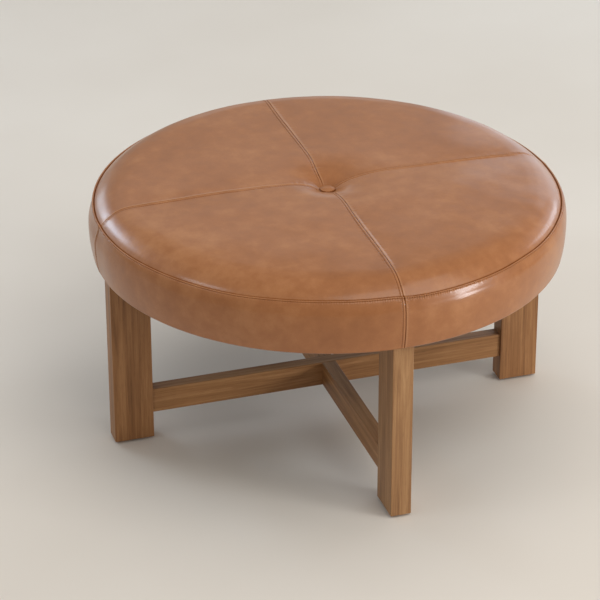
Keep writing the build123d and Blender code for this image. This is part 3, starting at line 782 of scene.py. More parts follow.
def towards(add, share, start, colour):
    """Colour brought from start towards a fixed colour by a share."""
    node = add("ShaderNodeMix", [(0, share), (6, start)], data_type="RGBA")
    node.inputs[7].default_value = (*colour, 1)
    return node.outputs[2]


def scaled(add, vector, value):
    """Vector or colour times a value."""
    return add("ShaderNodeVectorMath", [(0, vector), ("Scale", value)], operation="SCALE").outputs[0]


def bump(add, height, strength, distance, links=()):
    """Normal tilted by the slope of a height."""
    links = [("Height", height), *links]
    return add("ShaderNodeBump", links, Strength=strength, Distance=distance).outputs[0]


STITCH_PITCH = 4.0


def stitch_puckers(add, normal):
    """Normal with a pucker at each stitch, from the place along the stitch rows and how far they pull."""
    rows = add("ShaderNodeAttribute", attribute_name="rows").outputs["Vector"]
    pinch = add("ShaderNodeAttribute", attribute_name="pinch").outputs["Vector"]
    phase = add("ShaderNodeVectorMath", [(0, rows)], operation="SCALE", Scale=2 * pi / STITCH_PITCH)
    wave = add("ShaderNodeVectorMath", [(0, phase.outputs[0])], operation="SINE")
    pull = add("ShaderNodeVectorMath", [(0, wave.outputs[0]), (1, pinch)], operation="DOT_PRODUCT")
    return bump(add, pull.outputs["Value"], 1.0, 0.0003, [("Normal", normal)])


def leather_material(name, dark, middle, light, painted_groove_shade, wear_and_painted_highlight):
    """Smooth waxed leather with fine pores: painted shade darkens and dulls its grooves, and a painted
    highlight with wear lightens its ridges.
    """
    made, shader, add, join, place = material(name)
    broad = noise(add, place, 5.5, 4.0, 0.55, 0.4)
    cloud = noise(add, place, 38.0, 5.0, 0.6)
    fine = noise(add, place, 420.0, 3.0, 0.6)
    painted_shade_and_highlight = add("ShaderNodeAttribute", attribute_name="painted_shade_and_highlight").outputs["Fac"]
    colour = ramp(add, weighted(add, broad, 0.5, cloud, 0.5), (0.34, dark), (0.5, middle), (0.66, light))
    # Painted shade: the colour goes towards the dark groove colour where the value is below 0
    colour = towards(add, ranged(add, painted_shade_and_highlight, (0.58, 0.0), (-1.0, 0.0)), colour, painted_groove_shade)
    # Painted highlight with wear: the colour goes towards the light colour where the value is above 0.1
    colour = towards(add, ranged(add, painted_shade_and_highlight, (0.0, 0.5), (0.1, 1.0)), colour, wear_and_painted_highlight)
    join(scaled(add, colour, ranged(add, fine, (0.97, 1.03), (0.3, 0.7))), "Base Color")
    join(ranged(add, cloud, (0.36, 0.44), (0.3, 0.7)), "Roughness")
    join(ranged(add, painted_shade_and_highlight, (0.0, 0.45), (-0.35, 0.0)), "Coat Weight")
    join(ranged(add, painted_shade_and_highlight, (0.0, 0.36), (-0.6, 0.0)), "Specular IOR Level")
    shader.inputs["Coat Roughness"].default_value = 0.17
    pores = add("ShaderNodeTexVoronoi", [("Vector", place)], Scale=620.0, feature="DISTANCE_TO_EDGE")
    pore_height = ranged(add, pores.outputs["Distance"], (0.0, 1.0), (0.0, 0.22))
    grain = bump(add, weighted(add, pore_height, 0.12, noise(add, place, 150.0)), 0.2, 0.0004)
    join(stitch_puckers(add, grain), "Normal")
    return made


def wood_material(name, along, dark, middle, light):
    """Satin wood with its grain along an axis of the frame: 0, 1 or 2."""
    made, shader, add, join, place = material(name)

    def streaked(across, lengthways, detail, roughness, distortion=0.0):
        scales = [across] * 3
        scales[along] = lengthways
        mapping = add("ShaderNodeMapping", [("Vector", place)], Scale=scales)
        return noise(add, mapping.outputs[0], 1.0, detail, roughness, distortion)

    rings = streaked(55.0, 2.6, 5.0, 0.62, 1.3)
    streaks = streaked(330.0, 6.0, 4.0, 0.65, 0.3)
    pores = ranged(add, streaked(1500.0, 55.0, 2.0, 0.5), (0.72, 1.0), (0.28, 0.42))
    mixed = weighted(add, rings, 0.62, streaks, 0.38)
    join(scaled(add, ramp(add, mixed, (0.36, dark), (0.5, middle), (0.64, light)), pores), "Base Color")
    join(ranged(add, streaks, (0.52, 0.4)), "Roughness")
    shader.inputs["Specular IOR Level"].default_value = 0.4
    join(bump(add, pores, 0.25, 0.0004), "Normal")
    return made


def plain_material(name, low, high, scale, roughness, metallic=0.0, grain_scale=600.0, grain_strength=0.2,
                   grain_depth=0.0003, stretch=(1.0, 1.0, 1.0), specular=0.5):
    """Mottled finish with a fine texture: two colours, a roughness range and a grain."""
    made, shader, add, join, place = material(name)
    stretched = add("ShaderNodeMapping", [("Vector", place)], Scale=stretch).outputs[0]
    clouds = noise(add, stretched, scale, 4.0, 0.6)
    join(ramp(add, clouds, (0.35, low), (0.65, high)), "Base Color")
    join(ranged(add, clouds, roughness), "Roughness")
    shader.inputs["Metallic"].default_value = metallic
    shader.inputs["Specular IOR Level"].default_value = specular
    join(bump(add, noise(add, stretched, grain_scale, 3.0, 0.6), grain_strength, grain_depth), "Normal")
    return made


leather = leather_material("leather", rgb(151, 94, 51), rgb(163, 104, 59), rgb(177, 119, 73),
                           painted_groove_shade=rgb(98, 48, 20), wear_and_painted_highlight=rgb(196, 142, 98))
thread = plain_material("thread", rgb(124, 78, 47), rgb(154, 102, 66), 900.0, (0.55, 0.7), grain_scale=2500.0,
                        grain_strength=0.5, specular=0.25)
WOOD = (rgb(130, 88, 51), rgb(160, 113, 69), rgb(183, 136, 89))
wood_z = wood_material("wood_upright", 2, *WOOD)
# Copies of the leg wood toned for how the light falls: the front leg painted lighter, the left and right legs
# painted darker (painted light and shade)
front_leg_wood_painted_lighter = wood_material("wood_front_leg_painted_lighter", 2, rgb(132, 92, 57), rgb(161, 118, 77), rgb(183, 141, 97))
left_leg_wood_painted_darker = wood_material("wood_left_leg_painted_darker", 2, rgb(122, 80, 45), rgb(151, 104, 62), rgb(174, 126, 81))
right_leg_wood_painted_darker = wood_material("wood_right_leg_painted_darker", 2, rgb(124, 82, 47), rgb(153, 106, 64), rgb(176, 128, 83))
wood_x = wood_material("wood_left_right", 0, *WOOD)
wood_y = wood_material("wood_front_back", 1, *WOOD)
dowel_wood = wood_material("dowel_wood", 0, rgb(178, 140, 98), rgb(198, 162, 120), rgb(214, 182, 142))
plywood = plain_material("plywood", rgb(170, 132, 90), rgb(204, 168, 122), 9.0, (0.55, 0.7),
                         grain_scale=160.0, stretch=(1.0, 6.0, 75.0))
zinc = plain_material("zinc_steel", rgb(150, 152, 154), rgb(188, 190, 190), 220.0, (0.28, 0.45), 1.0,
                      1400.0, 0.15)
staple_steel = plain_material("staple_steel", rgb(140, 138, 132), rgb(182, 180, 172), 300.0, (0.3, 0.5), 1.0)
black_paint = plain_material("black_paint", rgb(24, 24, 25), rgb(34, 34, 35), 90.0, (0.35, 0.5), 0.0,
                             900.0, 0.3)
dark_plastic = plain_material("glide_plastic", rgb(30, 27, 25), rgb(42, 38, 35), 160.0, (0.45, 0.6), 0.0,
                              1100.0, 0.3)
anchor_plastic = plain_material("anchor_plastic", rgb(206, 202, 192), rgb(224, 220, 210), 120.0, (0.4, 0.5))
cover_cloth = plain_material("dust_cloth", rgb(20, 20, 21), rgb(38, 38, 40), 520.0, (0.85, 0.95), 0.0,
                             900.0, 0.9, 0.0006)
waxed_twine = plain_material("waxed_twine", rgb(196, 184, 158), rgb(222, 212, 190), 700.0, (0.5, 0.65), 0.0,
                             2400.0, 0.6)
fibre = plain_material("wadding_fibre", rgb(226, 224, 218), rgb(240, 239, 234), 60.0, (0.9, 0.98), 0.0,
                       380.0, 0.9, 0.002)

# Leather of the top: four panels drawn down to the tuft

ROW_RADII = np.concatenate([
    np.arange(389.6, 384, -0.7), np.arange(384, 372, -1.2), np.arange(372, 60, -2.2), np.arange(60, 26, -1.3),
    np.arange(26, 12, -0.8), (11, 9, 7, 6.2)])
INNER_RADII = np.concatenate([
    np.arange(388.6, 366, -4), np.arange(366, 60, -14), np.arange(60, 12, -6), (9.0, 6.2)])

# The edge turned down into the rim's seam, as radius and height
RIM_ROWS = ((391.1, 405.5), (391.1, 408.5), (391.1, 410.2), (391.1, 411.3), (390.98, 412.2), (390.65, 412.9),
            (CROWN_EDGE, 413.4))
RIM_CIRCLE = 391.0
RIM_INNER = 390.6

# Where the leather is gathered hardest, beside the front seam: direction, and reach to each side
GATHERED = radians(274)
GATHERED_REACH = 48

# Small forms: height, and the four distances between which a form rises and ends again; puckers by the
# distance from a panel's sewn line, gathers from the rim's, creases from the middle
PUCKERS = (0.16, 0.8, 2.5, 5, 13)
GATHERS = (0.13, 0.2, 2.5, 3, 12)
TUFT_CREASES = (0.16, 13, 17, 20, 50)
CREASE_CIRCLE = 22
TOP_SWELL = 0.4
TOP_STRENGTH = (0.6, 0.3)
SIDES_APART = 37
DEEPEST_SHADE = -0.9
SEAM_THINNING = (1.6, 2.2)

# How strongly the stitches pull: along the rim everywhere and more where gathered; beside a seam, and how far
TOP_RIM_PULL = (0.1, 0.2)
TOP_SIDE_PULL = (0.5, 2.2)
BAND_RIM_PULL = (0.45, 1.5)
BAND_RIM_PULL_PLACE = (RIM_ROW + 0.8, 3.0)
BAND_SIDE_PULL = (0.45, 2.6)


def form(limits, x):
    """Height of a small form by a distance: limits are its full height and the four distances of its hump."""
    height, *distances = limits
    return height * hump(*distances, x)


def near_front(theta):
    """1 beside the front seam, where the stitches pull the leather hardest, and 0 away from it."""
    off = np.mod(theta - GATHERED + pi, 2 * pi) - pi
    return np.exp(-(off * RIM_CIRCLE / GATHERED_REACH) ** 2)


def top_detail(panel, r, theta, places, length):
    """Height over the smooth form of the crown, and each point's painted shade (below 0) or painted highlight
    with wear (above 0), -1 to 1.
    """
    x = r * np.cos(theta)
    y = r * np.sin(theta)
    edge = np.minimum(places, length - places)
    inward = RIM_INNER - r
    relief = seam_relief(panel, places, length) * ease(13, 26, r)
    hand = np.sign(places - length / 2)
    puckers = seam_puckers(r + SIDES_APART * hand) * form(PUCKERS, edge) * ease(16, 40, r)
    strength = TOP_STRENGTH[0] + TOP_STRENGTH[1] * rim_strength(theta * RIM_CIRCLE)
    gathers = strength * rim_puckers(theta * RIM_CIRCLE) * form(GATHERS, inward)
    creases = tuft_creases(theta * CREASE_CIRCLE) * form(TUFT_CREASES, r)
    swell = TOP_SWELL * top_swells(x, y) * ease(0, 40, edge) * ease(2, 40, inward)
    drape = cloth_top(x, y) * ease(1, 7, edge) * ease(3, 10, inward) * ease(16, 26, r)
    shade = seam_shade(panel, places, length) * ease(13, 22, r) + shade_top_rim(np.maximum(inward, 0))
    return relief + puckers + gathers + creases + swell + drape, np.clip(shade, -1, 1)


def top_pull(panel, r, theta, places, length):
    """Place along the rim row and along the side rows, and how strongly each pulls the leather in."""
    everywhere, gathered = TOP_RIM_PULL
    strength, width = TOP_SIDE_PULL
    rim_pull = (everywhere + gathered * near_front(theta)) * (1 - ease(1, 5, RIM_CIRCLE - r))
    side_pull = by_side(panel, places, length, lambda d: strength * stitch_pull(d, width), lambda d: 0 * d)
    return (np.stack([theta * RIM_CIRCLE, r, 0 * r], 1),
            np.stack([rim_pull, side_pull * ease(15, 30, r), 0 * r], 1))


def top_row(panel, seams, r, ring_height=None):
    """One row of a top panel: points, shade and stitch pull, and the distances to its nearer sewn line."""
    start, turn = seam_span(seams, min(r, CROWN_EDGE))
    length = r * turn
    places = column_places(length)
    theta = start + places / r
    radius = np.full_like(theta, r)
    smooth = crown(radius, places / length)
    detail, shade = top_detail(panel, radius, theta, places, length)
    if ring_height is not None:
        smooth = ring_height
        fade = ease(409, 413.4, ring_height)
        detail = detail * fade
        shade = np.minimum(shade, DEEPEST_SHADE + 0.2 * fade)
    points = with_rim_moved(round_points(radius, theta, smooth + detail), top_rim_share(r))
    pull = top_pull(panel, radius, theta, places, length)
    return points, shade, *pull, np.minimum(places, length - places)


def narrowed(points, radius, way):
    """Points moved towards the axis, or away from it, as a circle of that radius would be."""
    return points * (1 + way / radius, 1 + way / radius, 1)


def leather_shell(name, rows, inner):
    """Leather piece from its rows of points, shade and stitch pull, and its inner rows."""
    points, shades, places, pulls = (np.array(part) for part in list(zip(*rows))[:4])
    return shell(name, points, np.array(inner), shades, (places, pulls), leather)


def top_panel(panel, seams):
    """Leather of one quarter of the top."""
    rows = [top_row(panel, seams, r, z) for r, z in RIM_ROWS] + [top_row(panel, seams, r) for r in ROW_RADII]
    inner = [narrowed(rows[0][0], RIM_ROWS[0][0], -LEATHER)]
    deeper, reach = SEAM_THINNING
    for r in INNER_RADII:
        points, *_, edge = top_row(panel, seams, r)
        points[:, 2] -= LEATHER + deeper * np.exp(-(edge / reach) ** 2) + 0.5 * ease(380, 388, r)
        inner.append(points)
    return leather_shell(f"leather_top_{panel}", rows, inner)


# Leather of the side: four panels from the seam to the hem under the board

BAND_CIRCLE = SHOULDER[0]
BAND_GATHERS = (0.16, 1, 4.5, 6, 17)
BAND_PUCKERS = (0.15, 0.8, 2.5, 5, 14)
BAND_SWELL = 0.35
BAND_STRENGTH = (0.6, 0.35, 0.9)
BAND_THINNING = (1.2, 2.2)
HIDDEN_RELIEF = 0.35
NECK_DROP = 1.2


def band_span(seams):
    """Direction of a band panel's first sewn line, and the panel's length."""
    start, turn = seam_span(seams, BAND_CIRCLE)
    return start, BAND_CIRCLE * turn


def band_detail(panel, index, theta, places, length):
    """How far the band stands out along its normal at one row of the section, and its shade."""
    a = band_from_groove[index]
    r, z = band_points[index]
    shown = ease(HEM_BOTTOM, HEM_BOTTOM + 8, z) if r > 396 or z > 400 else 0.0
    edge = np.minimum(places, length - places)
    relief = seam_relief(panel, places, length) * max(shown, HIDDEN_RELIEF) * ease(-2.0, 0.5, a)
    steady, varied, gathered = BAND_STRENGTH
    strength = steady + varied * rim_strength(theta * RIM_CIRCLE) + gathered * near_front(theta)
    gathers = strength * rim_puckers(theta * RIM_CIRCLE + 3) * form(BAND_GATHERS, a)
    puckers = seam_puckers(np.full_like(theta, z * 1.7)) * form(BAND_PUCKERS, edge) * shown
    swell = BAND_SWELL * band_swells(theta * HEM_RADIUS) * ease(10, 36, a) * shown * ease(0, 30, edge)
    drape = cloth_band(theta, np.full_like(theta, z)) * ease(6, 16, a) * shown * ease(1, 7, edge)
    shade = seam_shade(panel, places, length) + shade_rim(np.maximum(a, 0))
    height = relief + rim_lip(np.maximum(a, 0)) + gathers + puckers + swell + drape
    return height, np.clip(shade, -1, 1)


def band_pull(index, theta, places, length):
    """Place along the rim row and along the side rows, and how strongly each pulls the leather in."""
    a = band_from_groove[index]
    z = np.full_like(theta, band_points[index, 1])
    everywhere, gathered = BAND_RIM_PULL
    middle, reach = BAND_RIM_PULL_PLACE
    strength, width = BAND_SIDE_PULL
    rim_pull = (everywhere + gathered * near_front(theta)) * np.exp(-((a - middle) / reach) ** 2)
    side_pull = strength * (stitch_pull(places, width) + stitch_pull(length - places, width))
    return np.stack([theta * RIM_CIRCLE, z, 0 * z], 1), np.stack([rim_pull, side_pull, 0 * z], 1)


def band_place(index, theta, detail, along=0.0):
    """Points of the band at one row of its section, raised by detail and slid along the section."""
    (r, z), (nr, nz), (tr, tz) = band_points[index], band_normal[index], band_tangent[index]
    return round_points(r - along * tr + nr * detail, theta, z - along * tz + nz * detail)


def band_row(panel, seams, index, inset=0.0):
    """One row of a band panel: points, shade and stitch pull."""
    start, length = band_span(seams)
    places = column_places(length)
    theta = start + places / BAND_CIRCLE
    detail, shade = band_detail(panel, index, theta, places, length)
    if inset:
        deeper, reach = BAND_THINNING
        edge = np.minimum(places, length - places)
        detail = detail - inset - deeper * np.exp(-(edge / reach) ** 2)
    a = band_from_groove[index]
    points = with_rim_moved(band_place(index, theta, detail), band_rim_share(a))
    return shoulder_shaped(points, max(a, 0.0)), shade, *band_pull(index, theta, places, length)


def band_panel(panel, seams):
    """Leather of one quarter of the side."""
    rows = [band_row(panel, seams, index) for index in range(len(band_points))]
    inner_rows = [*range(0, groove_index - 6, 3), groove_index - 6, groove_index - 3]
    inner = [band_row(panel, seams, index, LEATHER)[0] for index in inner_rows]
    neck, end = (narrowed(rows[index][0], GROOVE[0], LEATHER) for index in (groove_index + 1, -1))
    neck[:, 2] -= NECK_DROP
    return leather_shell(f"leather_band_{panel}", rows, [*inner, neck, end])


for panel, seams in PANEL_SEAMS.items():
    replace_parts(top_panel(panel, seams), f"top_panel_{panel}")
    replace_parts(band_panel(panel, seams), f"band_panel_{panel}")

# Topstitching: each stitch is a short bowed thread with its ends in the leather

STITCH_LENGTH = 3.1
STITCH_RINGS = 6
STITCH_BOW = 0.45
STITCH_SINK = 0.12
STITCHED_RADII = (386.5, 19)
STITCHED_RUNS = (7.6, 92)
TOP_PITCH_SHARE = 0.985
THREAD_RADIUS = 0.38
THREAD_END_SHARE = 0.55
RING = 6


def circle(middle, radius, side, normal):
    """Ring of points round a middle, in the plane of two directions."""
    turns = [2 * pi * k / RING for k in range(RING)]
    return [middle + radius * (side * cos(turn) + normal * sin(turn)) for turn in turns]


def stitches(name, centres, ways, normals):
    """One mesh of bowed threads at centres, along ways, standing on normals."""
    points = []
    faces = []
    for centre, way, normal in zip(centres, ways, normals):
        side = np.cross(way, normal)
        start = len(points)
        for step in np.linspace(-0.5, 0.5, STITCH_RINGS):
            bow = STITCH_BOW * cos(pi * step) - STITCH_SINK
            width = THREAD_RADIUS * (THREAD_END_SHARE + (1 - THREAD_END_SHARE) * cos(pi * step))
            points += circle(centre + way * step * STITCH_LENGTH + normal * bow, width, side, normal)
        faces += grid_faces(STITCH_RINGS, RING, start, closed_columns=True)
        end = len(points) - RING
        faces.append(tuple(start + k for k in reversed(range(RING))))
        faces.append(tuple(end + k for k in range(RING)))
    return new_object(name, np.array(points), faces, thread, sharp=80)


def unit(vectors):
    return vectors / np.linalg.norm(vectors, axis=1)[:, None]


def along_row(points, ups):
    """Directions along a row of points, and the upward normals square to them."""
    ways = unit(np.gradient(points, axis=0))
    return ways, unit(ups - (ups * ways).sum(1)[:, None] * ways)


def row_place(side, length):
    """Distance of a panel's stitch row from its first sewn line."""
    return np.array([STITCH_ROW if side == 0 else length - STITCH_ROW])


def top_stitch_row(panel, side, seams):
    """Stitches on the top beside one sewn line of a panel."""
    radii = np.arange(*STITCHED_RADII, -STITCH_PITCH * TOP_PITCH_SHARE)
    points = []
    for r in radii:
        start, turn = seam_span(seams, r)
        length = r * turn
        place = row_place(side, length)
        theta = start + place / r
        radius = np.array([r])
        detail, _ = top_detail(panel, radius, theta, place, length)
        points.append(round_points(radius, theta, crown(radius, place / length) + detail)[0])
    points = with_rim_moved(np.array(points), top_rim_share(radii))
    ups = np.tile((0.0, 0.0, 1.0), (len(points), 1))
    return stitches(f"stitching_top_{seams[side]}", points, *along_row(points, ups))


def band_stitch_row(panel, side, seams):
    """Stitches down the band beside one sewn line of a panel."""
    start, length = band_span(seams)
    place = row_place(side, length)
    theta = start + place / BAND_CIRCLE
    runs = np.arange(*STITCHED_RUNS, STITCH_PITCH)
    nearest = [int(np.argmin(np.abs(band_from_groove - a))) for a in runs]
    points = []
    for index, a in zip(nearest, runs):
        detail, _ = band_detail(panel, index, theta, place, length)
        points.append(band_place(index, theta, detail, a - band_from_groove[index])[0])
    points = shoulder_shaped(with_rim_moved(np.array(points), band_rim_share(runs)), runs)
    ups = round_points(band_normal[nearest, 0], theta[0], band_normal[nearest, 1])
    return stitches(f"stitching_band_{seams[side]}", points, *along_row(points, ups))


def rim_stitch_row():
    """Stitches all round, on the band just below the rim's sewn line."""
    index = int(np.argmin(np.abs(band_from_groove - RIM_ROW)))
    points = []
    ups = []
    for panel, seams in PANEL_SEAMS.items():
        start, length = band_span(seams)
        count = int(length / STITCH_PITCH)
        places = (np.arange(count) + 0.5) * length / count
        theta = start + places / BAND_CIRCLE
        points.append(band_place(index, theta, band_detail(panel, index, theta, places, length)[0]))
        ups.append(round_points(band_normal[index, 0], theta, band_normal[index, 1]))
    points = shoulder_shaped(with_rim_moved(np.concatenate(points), band_rim_share(RIM_ROW)), RIM_ROW)
    around = unit(np.stack([-points[:, 1], points[:, 0], np.zeros(len(points))], 1))
    return stitches("stitching_rim", points, around, np.concatenate(ups))


for panel, seams in PANEL_SEAMS.items():
    for side in (0, 1):
        if (panel, side) in TOPSTITCHED:
            top_stitch_row(panel, side, seams)
            band_stitch_row(panel, side, seams)
rim_stitch_row()

# Filling: wadding over the foam, drawn down to the tuft

FILLING_ROOM = 0.4
FILLING_RADII = np.concatenate([(6.4, 9, 13), np.arange(18, 370, 7.0), np.arange(370, 388.1, 3.0)])
FILLING_SHOULDER = (388.2, 398.5)
BELOW_LEATHER = 4.2
BELOW_RIM = 6
SEAM_HOLLOW = 1.5
BEHIND_BAND = 1.2
BEHIND_SHOULDER = 5.5
DRAWN_FROM = 16
DRAWN_TO = 44
FILLING_FOOT = (396.8, HEM_BOTTOM + 6.5)
FILLING_BOARD_GAP = 0.5


def filling():
    """Closed ring of wadding from the twine's hole over the crown, down the side and back over the board."""
    theta = np.linspace(0, 2 * pi, 300, endpoint=False)
    hole = FILLING_RADII[0]
    rings = [round_points(hole, theta, BOARD_TOP + FILLING_ROOM)]
    for r in FILLING_RADII:
        radius = np.full_like(theta, r)
        away = seam_distance(theta, radius)
        lift = cloth_top(r * np.cos(theta), r * np.sin(theta)) * ease(1, 12, away)
        lift += SEAM_HOLLOW * ease(0, 20, away) - BELOW_RIM * ease(372, 388, r)
        height = crown(radius, pillow_share(theta, radius)) - LEATHER - BELOW_LEATHER + lift
        rings.append(round_points(r, theta, height))
    rings.append(round_points(FILLING_SHOULDER[0], theta, FILLING_SHOULDER[1]))
    inside = [index for index in range(len(band_points))
              if band_points[index, 1] > FILLING_FOOT[1] and band_from_groove[index] > DRAWN_FROM]
    for index in inside[::-2]:
        r, z = band_points[index]
        drawn = BEHIND_SHOULDER * (1 - ease(DRAWN_FROM, DRAWN_TO, band_from_groove[index]))
        bulge = 0.8 * cloth_band(theta, np.full_like(theta, z))
        rings.append(round_points(r - LEATHER - BEHIND_BAND - drawn + bulge, theta, z))
    foot_radius, foot_height = FILLING_FOOT
    rings.append(round_points(foot_radius, theta, foot_height))
    for z in (foot_height, BOARD_TOP + FILLING_ROOM):
        rings.append(round_points(BOARD_RADIUS + FILLING_BOARD_GAP, theta, z))
    faces = grid_faces(len(rings), len(theta), closed_columns=True, closed_rows=True)
    obj = new_object("seat_filling", np.concatenate(rings), faces, fibre)
    face_outwards(obj)
    return obj


seat_filling = filling()
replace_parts(seat_filling, "wadding_wrap", "foam_crown", "foam_core")

# Button: leather gathered over its shell and turned in underneath

BUTTON_LEATHER = 1.0
BUTTON_CENTRE = 0.4
UNDERCUT = 0.5
SHELL_INSET = 1.7
DOME_INSET = (0.9, 1.05)
TURNED_IN_SHADE = -0.8


def covered_button():
    """Closed dome of leather with its edge pleated and turned in below."""
    theta = np.linspace(0, 2 * pi, 120, endpoint=False)
    edge_r = BUTTON_EDGE[0]
    lip_r = edge_r - UNDERCUT
    pleats = ripples((2.4, 5.5), 7)
    rings = []
    shades = []

    def ring(r, z, pleat=0.0, shade=TURNED_IN_SHADE):
        fold = pleat * pleats(theta * edge_r)
        rings.append(round_points(r + fold, theta, BUTTON_BOTTOM + z + 0.5 * fold))
        # Painted highlight and shade on the pleats: lighter where a fold stands out, darker where it sinks
        shades.append(np.clip(shade + fold * 2, -1, 1))

    dome, way = tangent_arc((BUTTON_CENTRE, BUTTON_HEIGHT), BUTTON_EDGE, (1, 0), 22)
    # The dome is painted a little light (painted highlight), the edge rolling under it darker (painted shade)
    for r, z in dome:
        ring(r, z, 0.1 * ease(7, 12, r), 0.15)
    for r, z in tangent_arc(BUTTON_EDGE, (lip_r, 0.0), way, 9)[0][1:]:
        ring(r, z, 0.12, -0.4)
    ring(lip_r - BUTTON_LIP / 2, 0.0, 0.05)
    ring(lip_r - BUTTON_LIP, 0.0)
    ring(lip_r - BUTTON_LIP, BUTTON_LEATHER)
    ring(edge_r - SHELL_INSET, BUTTON_LEATHER)
    inwards, down = DOME_INSET
    for r, z in dome[-4::-3]:
        ring(max(r - inwards, BUTTON_CENTRE), z - down)
    top = (0, 0, BUTTON_BOTTOM + BUTTON_HEIGHT)
    points, faces = capped_rings(rings, top, (0, 0, rings[-1][0, 2]))
    obj = new_object("covered_button", points, faces, leather)
    add_values(obj, "painted_shade_and_highlight", np.array(shades).ravel())
    face_outwards(obj)
    return obj


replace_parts(covered_button(), "button_cover")

# Twine: three plies round the CAD loop's line, and its knot

TWINE_BEND = 2.0
TWINE_RADIUS = 0.8
KNOT_RADIUS = 1.5
PLY_RADIUS = 0.42
PLY_OFFSET = 0.36
TWIST_LENGTH = 7


def twine_line():
    """Points of the loop from the anchor up to the button's eye and back, and the height of its knot."""
    low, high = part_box("tufting_twine")
    bottom = low.z / MM + KNOT_RADIUS + TWINE_BEND
    top = high.z / MM - TWINE_RADIUS - TWINE_BEND
    line = []
    for hand, start, end in ((1, bottom, top), (-1, top, bottom)):
        line += [(0.0, hand * TWINE_BEND, z) for z in np.linspace(start, end, 70)]
        for turn in np.linspace(0, pi, 12)[1:-1]:
            line.append((0.0, hand * TWINE_BEND * cos(turn), end + hand * TWINE_BEND * sin(turn)))
    return np.array(line), bottom - TWINE_BEND


def twine():
    """Three plies twisted along the loop's line, and the knot below the anchor."""
    line, knot_height = twine_line()
    count = len(line)
    twists = round(np.linalg.norm(np.diff(line, axis=0), axis=1).sum() / TWIST_LENGTH)
    side = np.array((1.0, 0.0, 0.0))
    normals = np.cross(unit(np.roll(line, -1, axis=0) - np.roll(line, 1, axis=0)), side)
    points = []
    faces = []
    for ply in range(3):
        faces += grid_faces(count, RING, len(points), closed_columns=True, closed_rows=True)
        for index, (centre, normal) in enumerate(zip(line, normals)):
            turn = 2 * pi * (twists * index / count + ply / 3)
            middle = centre + PLY_OFFSET * (side * cos(turn) + normal * sin(turn))
            points += circle(middle, PLY_RADIUS, side, normal)
    knot = bmesh.new()
    bmesh.ops.create_icosphere(knot, subdivisions=3, radius=KNOT_RADIUS)
    base = len(points)
    for vertex in knot.verts:
        x, y, z = vertex.co
        lump = 1 + 0.12 * sin(5 * x) * cos(4 * y + 3 * z)
        points.append(np.array(vertex.co) * lump + (0, 0, knot_height))
    faces += [tuple(base + v.index for v in face.verts) for face in knot.faces]
    knot.free()
    return new_object("twisted_twine", np.array(points), faces, waxed_twine, sharp=80)


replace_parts(twine(), "tufting_twine")

# Dust cover: thin cloth stapled under the seat, slightly slack between its staples

NOTCH_ROOM = 1.5
NOTCH_HALF = LEG_WIDTH / 2 + NOTCH_ROOM
NOTCH_INNER = LEG_INNER - NOTCH_ROOM
BOLT_HOLE_RADIUS = 4
BOLT_HOLES = ((295, -8), (295, 8))
HOLE_POINTS = 16
ARC_POINTS = 64
CLOTH_SPACING = 9.0
STAPLE_CIRCLE = 363
SAG = (2.1, 0.9)
RAY_HEIGHT = 0.35
RAY_CIRCLE = 330
LEG_PLACE = 300


def turned(u, v, turn):
    """Place of (u, v) turned round the axis by degrees."""
    c, s = cos(radians(turn)), sin(radians(turn))
    return u * c - v * s, u * s + v * c


HOLE_MIDDLES = [turned(u, v, turn) for turn in LEG_TURNS for u, v in BOLT_HOLES]


def cut_away(x, y, leg_room, hole_reach):
    """Whether a place of the dust cover lies in a leg's notch, widened by some room, or in a bolt's hole."""
    for turn in LEG_TURNS:
        u, v = turned(x, y, -turn)
        if abs(v) < NOTCH_HALF + leg_room and u > NOTCH_INNER - leg_room:
            return True
    return any(np.hypot(x - a, y - b) < hole_reach for a, b in HOLE_MIDDLES)


def dust_outlines(radius):
    """Edge of the dust cover with its four notches, and the edges of its holes."""
    reach = np.sqrt(radius ** 2 - NOTCH_HALF ** 2)
    notch = ((reach, -NOTCH_HALF), (NOTCH_INNER, -NOTCH_HALF), (NOTCH_INNER, NOTCH_HALF), (reach, NOTCH_HALF))
    half_angle = np.degrees(np.arcsin(NOTCH_HALF / radius))
    edge = []
    for turn in LEG_TURNS:
        edge += [turned(u, v, turn) for u, v in notch]
        arc = np.linspace(turn + half_angle, turn + 90 - half_angle, ARC_POINTS)[1:-1]
        edge += [turned(radius, 0, step) for step in arc]
    holes = []
    for turn in LEG_TURNS:
        for u, v in BOLT_HOLES:
            spins = [2 * pi * step / HOLE_POINTS for step in range(HOLE_POINTS)]
            holes.append([turned(u + BOLT_HOLE_RADIUS * cos(spin), v + BOLT_HOLE_RADIUS * sin(spin), turn)
                          for spin in spins])
    return [edge, *holes]


def dust_plan(radius):
    """Flat triangles of the dust cover: places and faces."""
    verts = []
    edges = []
    for outline in dust_outlines(radius):
        base = len(verts)
        count = len(outline)
        verts += outline
        edges += [(base + i, base + (i + 1) % count) for i in range(count)]
    boundary = np.array(verts)
    ticks = np.arange(-radius, radius, CLOTH_SPACING)
    for row, y in enumerate(ticks):
        for x in ticks + (CLOTH_SPACING / 2 if row % 2 else 0):
            near_edge = np.min(np.hypot(boundary[:, 0] - x, boundary[:, 1] - y)) < CLOTH_SPACING / 2
            if not (np.hypot(x, y) > radius - 4 or near_edge or cut_away(x, y, 2, BOLT_HOLE_RADIUS + 1)):
                verts.append((x, y))
    made = delaunay_2d_cdt([Vector(v) for v in verts], edges, [], 0, 1e-4)
    plan = np.array([tuple(v) for v in made[0]])
    triangles = []
    for face in made[2]:
        x, y = plan[list(face)].mean(axis=0)
        if np.hypot(x, y) < radius + 0.01 and not cut_away(x, y, 0, BOLT_HOLE_RADIUS - 0.2):
            triangles.append(tuple(face))
    return plan, triangles


